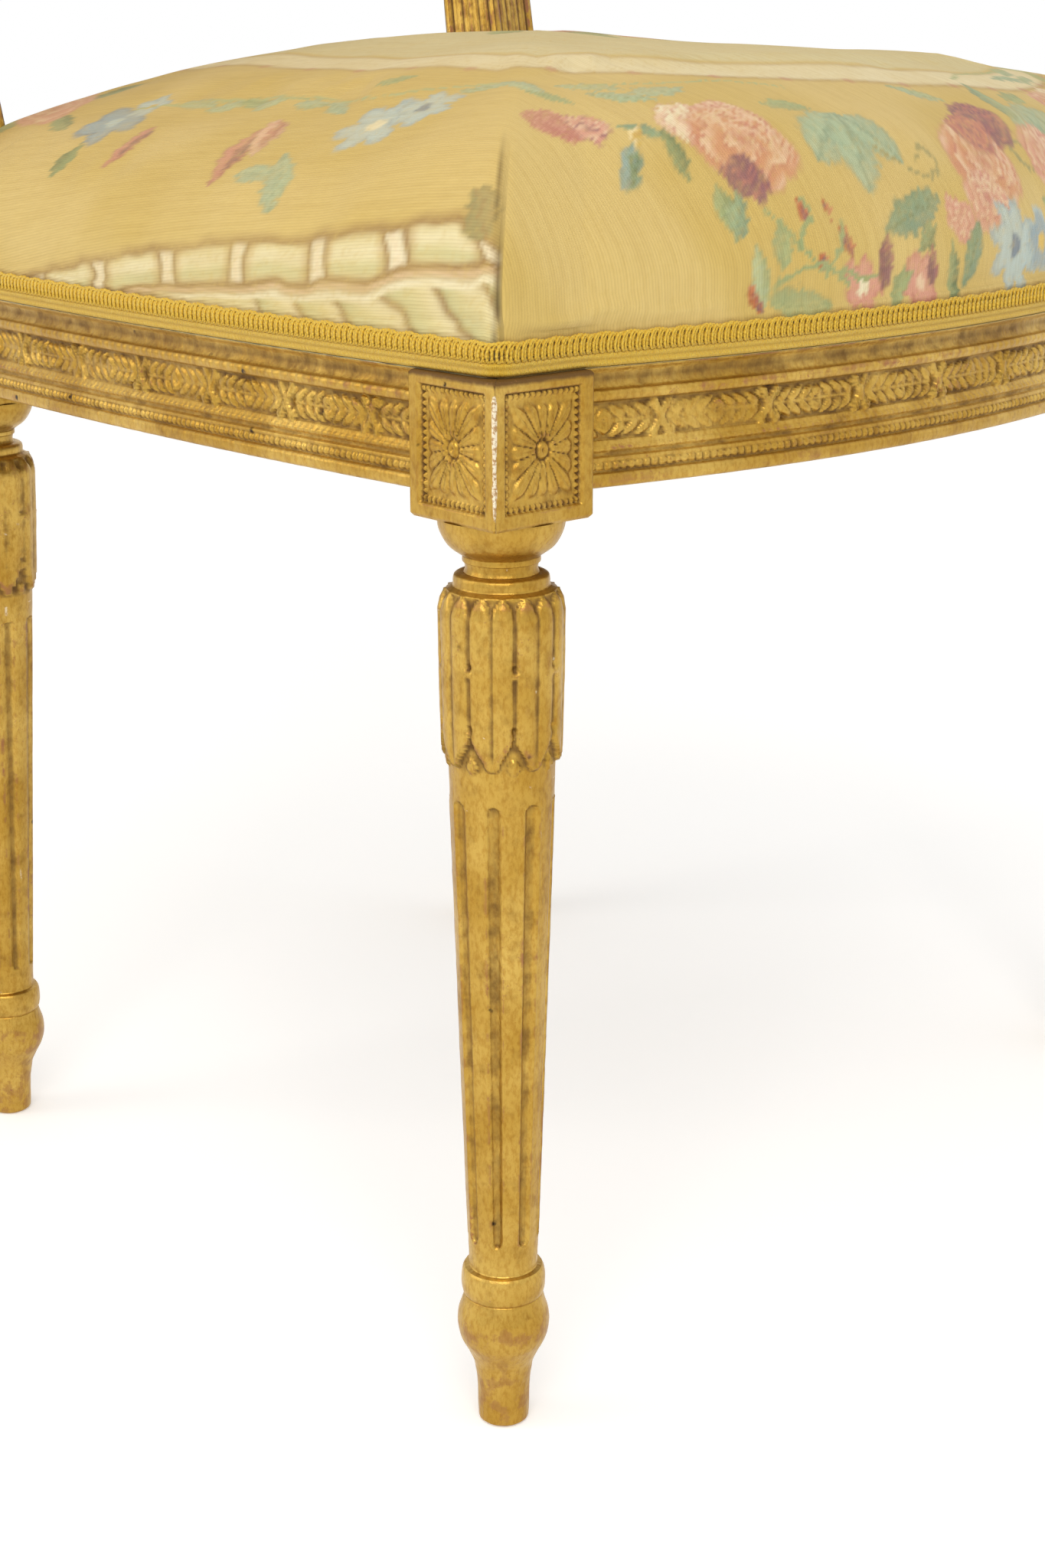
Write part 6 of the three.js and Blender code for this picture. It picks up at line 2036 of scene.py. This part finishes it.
def set_camera(look):
    """The camera of the reference photograph."""
    data = bpy.data.cameras.new("camera")
    data.sensor_fit = "VERTICAL"
    data.sensor_height = 36.0
    data.lens = look.lens
    data.clip_start = 0.01
    camera = bpy.data.objects.new("camera", data)
    bpy.context.scene.collection.objects.link(camera)
    camera.location = CAMERA_SPOT
    flat = math.cos(CAMERA_PITCH)
    facing = Vector((CAMERA_HEADING[0] * flat, CAMERA_HEADING[1] * flat, -math.sin(CAMERA_PITCH)))
    camera.rotation_euler = facing.to_track_quat("-Z", "Y").to_euler()
    bpy.context.scene.camera = camera


def set_world(look):
    """Plain white to the camera; for all other rays soft light from above, dimmer below."""
    world = bpy.data.worlds.new("studio")
    bpy.context.scene.world = world
    world.use_nodes = True
    world.node_tree.nodes.clear()
    add = partial(put, world)
    upward = add("split", add("place").node.outputs["Generated"]).node.outputs["Z"]
    strength = add("range", upward, -0.1, 0.75, look.low_light, look.room_light)
    seen = add("ray")
    rays = seen.node.outputs
    for kind in ("Is Glossy Ray", "Is Transmission Ray"):
        seen = add("larger", seen, rays[kind])
    white = add("light", (1.0, 1.0, 1.0, 1.0), 1.0)
    add("world", add("either", seen, add("light", srgb("fbf8f2"), strength), white))


def add_lamp(name, spot, target, width, height, power, colour):
    """A rectangular soft box aimed at a point."""
    data = bpy.data.lights.new(name, "AREA")
    data.shape = "RECTANGLE"
    data.size = width
    data.size_y = height
    data.energy = power
    data.color = srgb(colour)[:3]
    lamp = bpy.data.objects.new(name, data)
    bpy.context.scene.collection.objects.link(lamp)
    lamp.location = spot
    lamp.rotation_euler = (Vector(target) - Vector(spot)).to_track_quat("-Z", "Y").to_euler()


def set_floor():
    """A pale sweep that reads white to the camera but still takes the chair's soft shadow."""
    points = np.array([[-6, -6, 0], [6, -6, 0], [6, 6, 0], [-6, 6, 0]], dtype=float)
    mesh = bpy.data.meshes.new("floor")
    mesh.from_pydata(points.tolist(), [], [(0, 1, 2, 3)])
    floor = bpy.data.objects.new("floor", mesh)
    bpy.context.scene.collection.objects.link(floor)
    mat, shader, _ = material("studio_floor")
    wire(mat, shader, {
        "Base Color": srgb("f3f5f9"), "Emission Color": (1.0, 1.0, 1.0, 1.0), "Emission Strength": 0.3,
        "Roughness": 0.9, "Specular IOR Level": 0.1,
    })
    mesh.materials.append(mat)
    floor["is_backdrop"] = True


def set_stage(look):
    """Floor, light and camera."""
    bpy.context.scene.view_settings.view_transform = "Standard"
    set_camera(look)
    set_world(look)
    set_floor()
    near = (-0.1, -0.05, 0.35)
    add_lamp("key", (-1.5, -1.2, 1.9), near, 1.4, 1.4, look.key_light, "fffaf2")
    add_lamp("fill", (1.4, -1.9, 1.1), near, 1.6, 1.4, look.fill_light, "f5f7ff")
    add_lamp("rim", (-1.7, 1.3, 1.3), near, 1.0, 1.6, look.rim_light, "fff8ee")


# Hidden frame and upholstery

BEECH_NODES = [
    f"{end}_corner_block_{side}" for end in ("front", "back") for side in ("right", "left")
] + [
    f"{place}_peg_{side}" for place in ("front_rail", "back_rail", "side_rail_front", "side_rail_back")
    for side in ("right", "left")
]
WEB_NODES = (
    [f"seat_web_lengthwise_{i}" for i in range(1, 5)]
    + [f"seat_web_crosswise_{i}" for i in range(1, 5)]
    + [f"back_web_{i}" for i in range(1, 4)]
)
SPRING_NODES = [f"seat_spring_{i}" for i in range(1, 6)]


def finish_nodes(mats):
    """Gives the frame's own nodes that stay in view their materials."""
    for names, key in ((BEECH_NODES, "beech"), (WEB_NODES, "webbing"), (SPRING_NODES, "spring_wire")):
        for name in names:
            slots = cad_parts[name].data.materials
            slots.clear()
            slots.append(mats[key])


def hidden_canvas(look, mats):
    """The spring canvas: a thin cloth that dips a little between the springs."""
    outline = seat_outline(6.6, 0.2)
    shares = np.linspace(0.012, 0.995, 20)[:, None, None]
    q = outline[None] * (1 - shares) + SEAT_MIDDLE * shares
    dip = (value_noise(q[..., 0] / 60, q[..., 1] / 60, seed=41.0)) * 0.5
    top = np.concatenate([q, (RAIL_TOP + 1.5 - dip * 0.4)[..., None]], axis=-1)
    low = np.concatenate([q, (RAIL_TOP + 0.5 - dip * 0.2)[..., None]], axis=-1)
    whole = np.concatenate([low[::-1], top], axis=0)
    parts = Parts()
    parts.bar(whole, False)
    finish(parts, "hessian_spring_canvas", "spring_canvas", "canvas", mats)


def hidden_stuffing(look, mats):
    """The horsehair under both covers, lumpy where tufts were laid in."""
    outline = seat_outline(COVER_INSET + 6.0, 0.25)
    shares, _ = crown_curve(36)
    keep = shares[:, 1] > 0.14
    shares = shares[keep]
    inward = shares[:, 0][:, None, None]
    q = outline[None] * (1 - inward) + SEAT_MIDDLE * inward
    z = RAIL_REBATE + (SEAT_CROWN - 13 - RAIL_REBATE) * shares[:, 1]
    z = np.broadcast_to(z[:, None, None], (*q.shape[:2], 1)).copy()
    lump = value_noise(q[..., 0] / 14, q[..., 1] / 14, seed=42.0)
    z[..., 0] -= lump * 1.8 * smoothstep(400, 420, z[..., 0])
    parts = Parts()
    grid = np.concatenate([q, z], axis=-1)
    parts.bar(grid, False)
    finish(parts, "horsehair_seat", "seat_stuffing", "horsehair", mats)
    rise = -(14 + PAD_RISE - 4)
    profile = [(1.0, -8.9), (1.0, -8.9), (1.0, -14), (0.99, -24), (0.94, -33), (0.8, -39), (0.5, -43),
               (0.15, rise), (0.004, rise)]
    local, _ = oval_disc(10.5, profile, 50, 160)
    local[..., 1] += value_noise(local[..., 0] / 14, local[..., 2] / 14, seed=43.0) * 1.6 * (
        local[..., 1] < -15
    )
    grid = lean_back(local)
    parts = Parts()
    parts.bar(grid, True)
    finish(parts, "horsehair_back", "back_stuffing", "horsehair", mats)


# Add-on

def tone_of(label, about, code):
    """A colour that a user may change, given as a hex value."""
    return bpy.props.FloatVectorProperty(
        name=label, description=about, subtype="COLOR", size=4, min=0.0, max=1.0, default=srgb(code))


def amount_of(label, about, value, low, high, **more):
    """A number that a user may change."""
    return bpy.props.FloatProperty(name=label, description=about, default=value, min=low, max=high, **more)


class FauteuilLook(bpy.types.PropertyGroup):
    """The values that a user would change."""

    gold: tone_of("Gold", "Leaf colour", "b48d38")
    gold_pale: tone_of("Pale gold", "Paler patches of leaf", "cca955")
    gold_brown: tone_of("Toned gold", "Leaf toned by old size", "967230")
    # Colour of the recesses: dust and glaze, and painted shade.
    toning_and_shade: tone_of("Toning", "Dust and glaze in the recesses", "684814")
    bole: tone_of("Bole", "Clay ground where the leaf is rubbed away", "9a6436")
    gesso: tone_of("Gesso", "White ground laid bare on the edges", "efe3c8")
    ground: tone_of("Tapestry ground", "Colour of the plain weave", "cfb366")
    ground_worn: tone_of("Worn ground", "Faded parts of the weave", "d2b873")
    rib: amount_of("Rib", "Distance between warps, in millimetres", 1.15, 0.4, 4.0)
    gimp: tone_of("Gimp", "Colour of the silk gimp", "d9ae28")
    # Colour of the painted highlights on the floss.
    gimp_highlight: tone_of("Pale gimp", "Highlights of the floss", "e4c244")
    gimp_pitch: amount_of("Gimp pitch", "Distance between scrolls, in millimetres", 2.75, 1.5, 8.0)
    lens: amount_of("Lens", "Focal length, in millimetres", CAMERA_LENS, 20.0, 200.0)
    room_light: amount_of("Room light", "Strength of the soft light from above", 0.88, 0.0, 3.0)
    low_light: amount_of("Low light", "Strength of the soft light from below", 0.18, 0.0, 3.0)
    key_light: amount_of("Key light", "Power of the main soft box", 24.0, 0.0, 500.0, unit="POWER")
    fill_light: amount_of("Fill light", "Power of the second soft box", 2.0, 0.0, 500.0, unit="POWER")
    rim_light: amount_of("Rim light", "Power of the soft box behind", 9.0, 0.0, 500.0, unit="POWER")


MATERIAL_MAKERS = (
    make_giltwood, make_beech, make_webbing, make_canvas, make_spring_wire, make_horsehair, make_tapestry,
    make_gimp_braid,
)


def prepared(context):
    """The look, and the materials by name, made on first use."""
    look = context.scene.fauteuil_look
    mats = {}
    for make in MATERIAL_MAKERS:
        name = make.__name__.removeprefix("make_")
        mats[name] = bpy.data.materials.get(LOOK_PREFIX + name) or make(look)
    return look, mats


class BuildLegs(bpy.types.Operator):
    """Turned front legs and back posts"""

    bl_idname = "fauteuil.legs"
    bl_label = "Legs and posts"

    def execute(self, context):
        look, mats = prepared(context)
        for hand in (1, -1):
            front_leg(hand, look, mats)
            back_post(hand, look, mats)
        return {"FINISHED"}


class BuildRails(bpy.types.Operator):
    """Carved seat rails"""

    bl_idname = "fauteuil.rails"
    bl_label = "Seat rails"

    def execute(self, context):
        look, mats = prepared(context)
        rail("front", 1, "front_rail", mats)
        rail("side", 1, "side_rail_right", mats)
        rail("side", -1, "side_rail_left", mats)
        rail("back", 1, "back_rail", mats)
        return {"FINISHED"}


class BuildSeat(bpy.types.Operator):
    """Seat cover and its gimp"""

    bl_idname = "fauteuil.seat"
    bl_label = "Seat"

    def execute(self, context):
        look, mats = prepared(context)
        seat_cover(look, mats)
        seat_gimps(look, mats)
        return {"FINISHED"}


class BuildBack(bpy.types.Operator):
    """Medallion frame, covers and gimp"""

    bl_idname = "fauteuil.back"
    bl_label = "Back"

    def execute(self, context):
        look, mats = prepared(context)
        for name in ARCS:
            medallion_arc(name, look, mats)
        back_cover(look, mats)
        outer_back(look, mats)
        back_gimps(look, mats)
        return {"FINISHED"}


class BuildArms(bpy.types.Operator):
    """Arms, consoles and arm pads"""

    bl_idname = "fauteuil.arms"
    bl_label = "Arms"

    def execute(self, context):
        look, mats = prepared(context)
        for hand in (1, -1):
            arm(hand, look, mats)
            console(hand, look, mats)
            arm_pad(hand, look, mats)
        return {"FINISHED"}


class BuildInside(bpy.types.Operator):
    """Hidden frame, webbing, springs, canvas and stuffing"""

    bl_idname = "fauteuil.inside"
    bl_label = "Inside"

    def execute(self, context):
        look, mats = prepared(context)
        finish_nodes(mats)
        hidden_canvas(look, mats)
        hidden_stuffing(look, mats)
        return {"FINISHED"}


class BuildStage(bpy.types.Operator):
    """Floor, light and camera"""

    bl_idname = "fauteuil.stage"
    bl_label = "Stage"

    def execute(self, context):
        set_stage(context.scene.fauteuil_look)
        return {"FINISHED"}


STEPS = (BuildLegs, BuildRails, BuildSeat, BuildBack, BuildArms, BuildInside, BuildStage)


class FauteuilPanel(bpy.types.Panel):
    """Lists the steps and the look"""

    bl_idname = "VIEW3D_PT_fauteuil"
    bl_label = "Fauteuil"
    bl_space_type = "VIEW_3D"
    bl_region_type = "UI"
    bl_category = "Fauteuil"

    def draw(self, context):
        for step in STEPS:
            self.layout.operator(step.bl_idname)
        for name in FauteuilLook.__annotations__:
            self.layout.prop(context.scene.fauteuil_look, name)


def register():
    bpy.utils.register_class(FauteuilLook)
    bpy.types.Scene.fauteuil_look = bpy.props.PointerProperty(type=FauteuilLook)
    for step in STEPS:
        bpy.utils.register_class(step)
    bpy.utils.register_class(FauteuilPanel)


def unregister():
    bpy.utils.unregister_class(FauteuilPanel)
    for step in reversed(STEPS):
        bpy.utils.unregister_class(step)
    del bpy.types.Scene.fauteuil_look
    bpy.utils.unregister_class(FauteuilLook)


def write_sizes():
    """Works out the box of the whole object, as the frame has it and as it is dressed; neither box is written or
    returned.
    """
    cad = [list(corner) for corner in CAD_BOX]
    visual = [list(corner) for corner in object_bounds()]


def main():
    register()
    for step in STEPS:
        group, name = step.bl_idname.split(".")
        getattr(getattr(bpy.ops, group), name)()
    write_sizes()


if __name__ == "__main__":
    main()
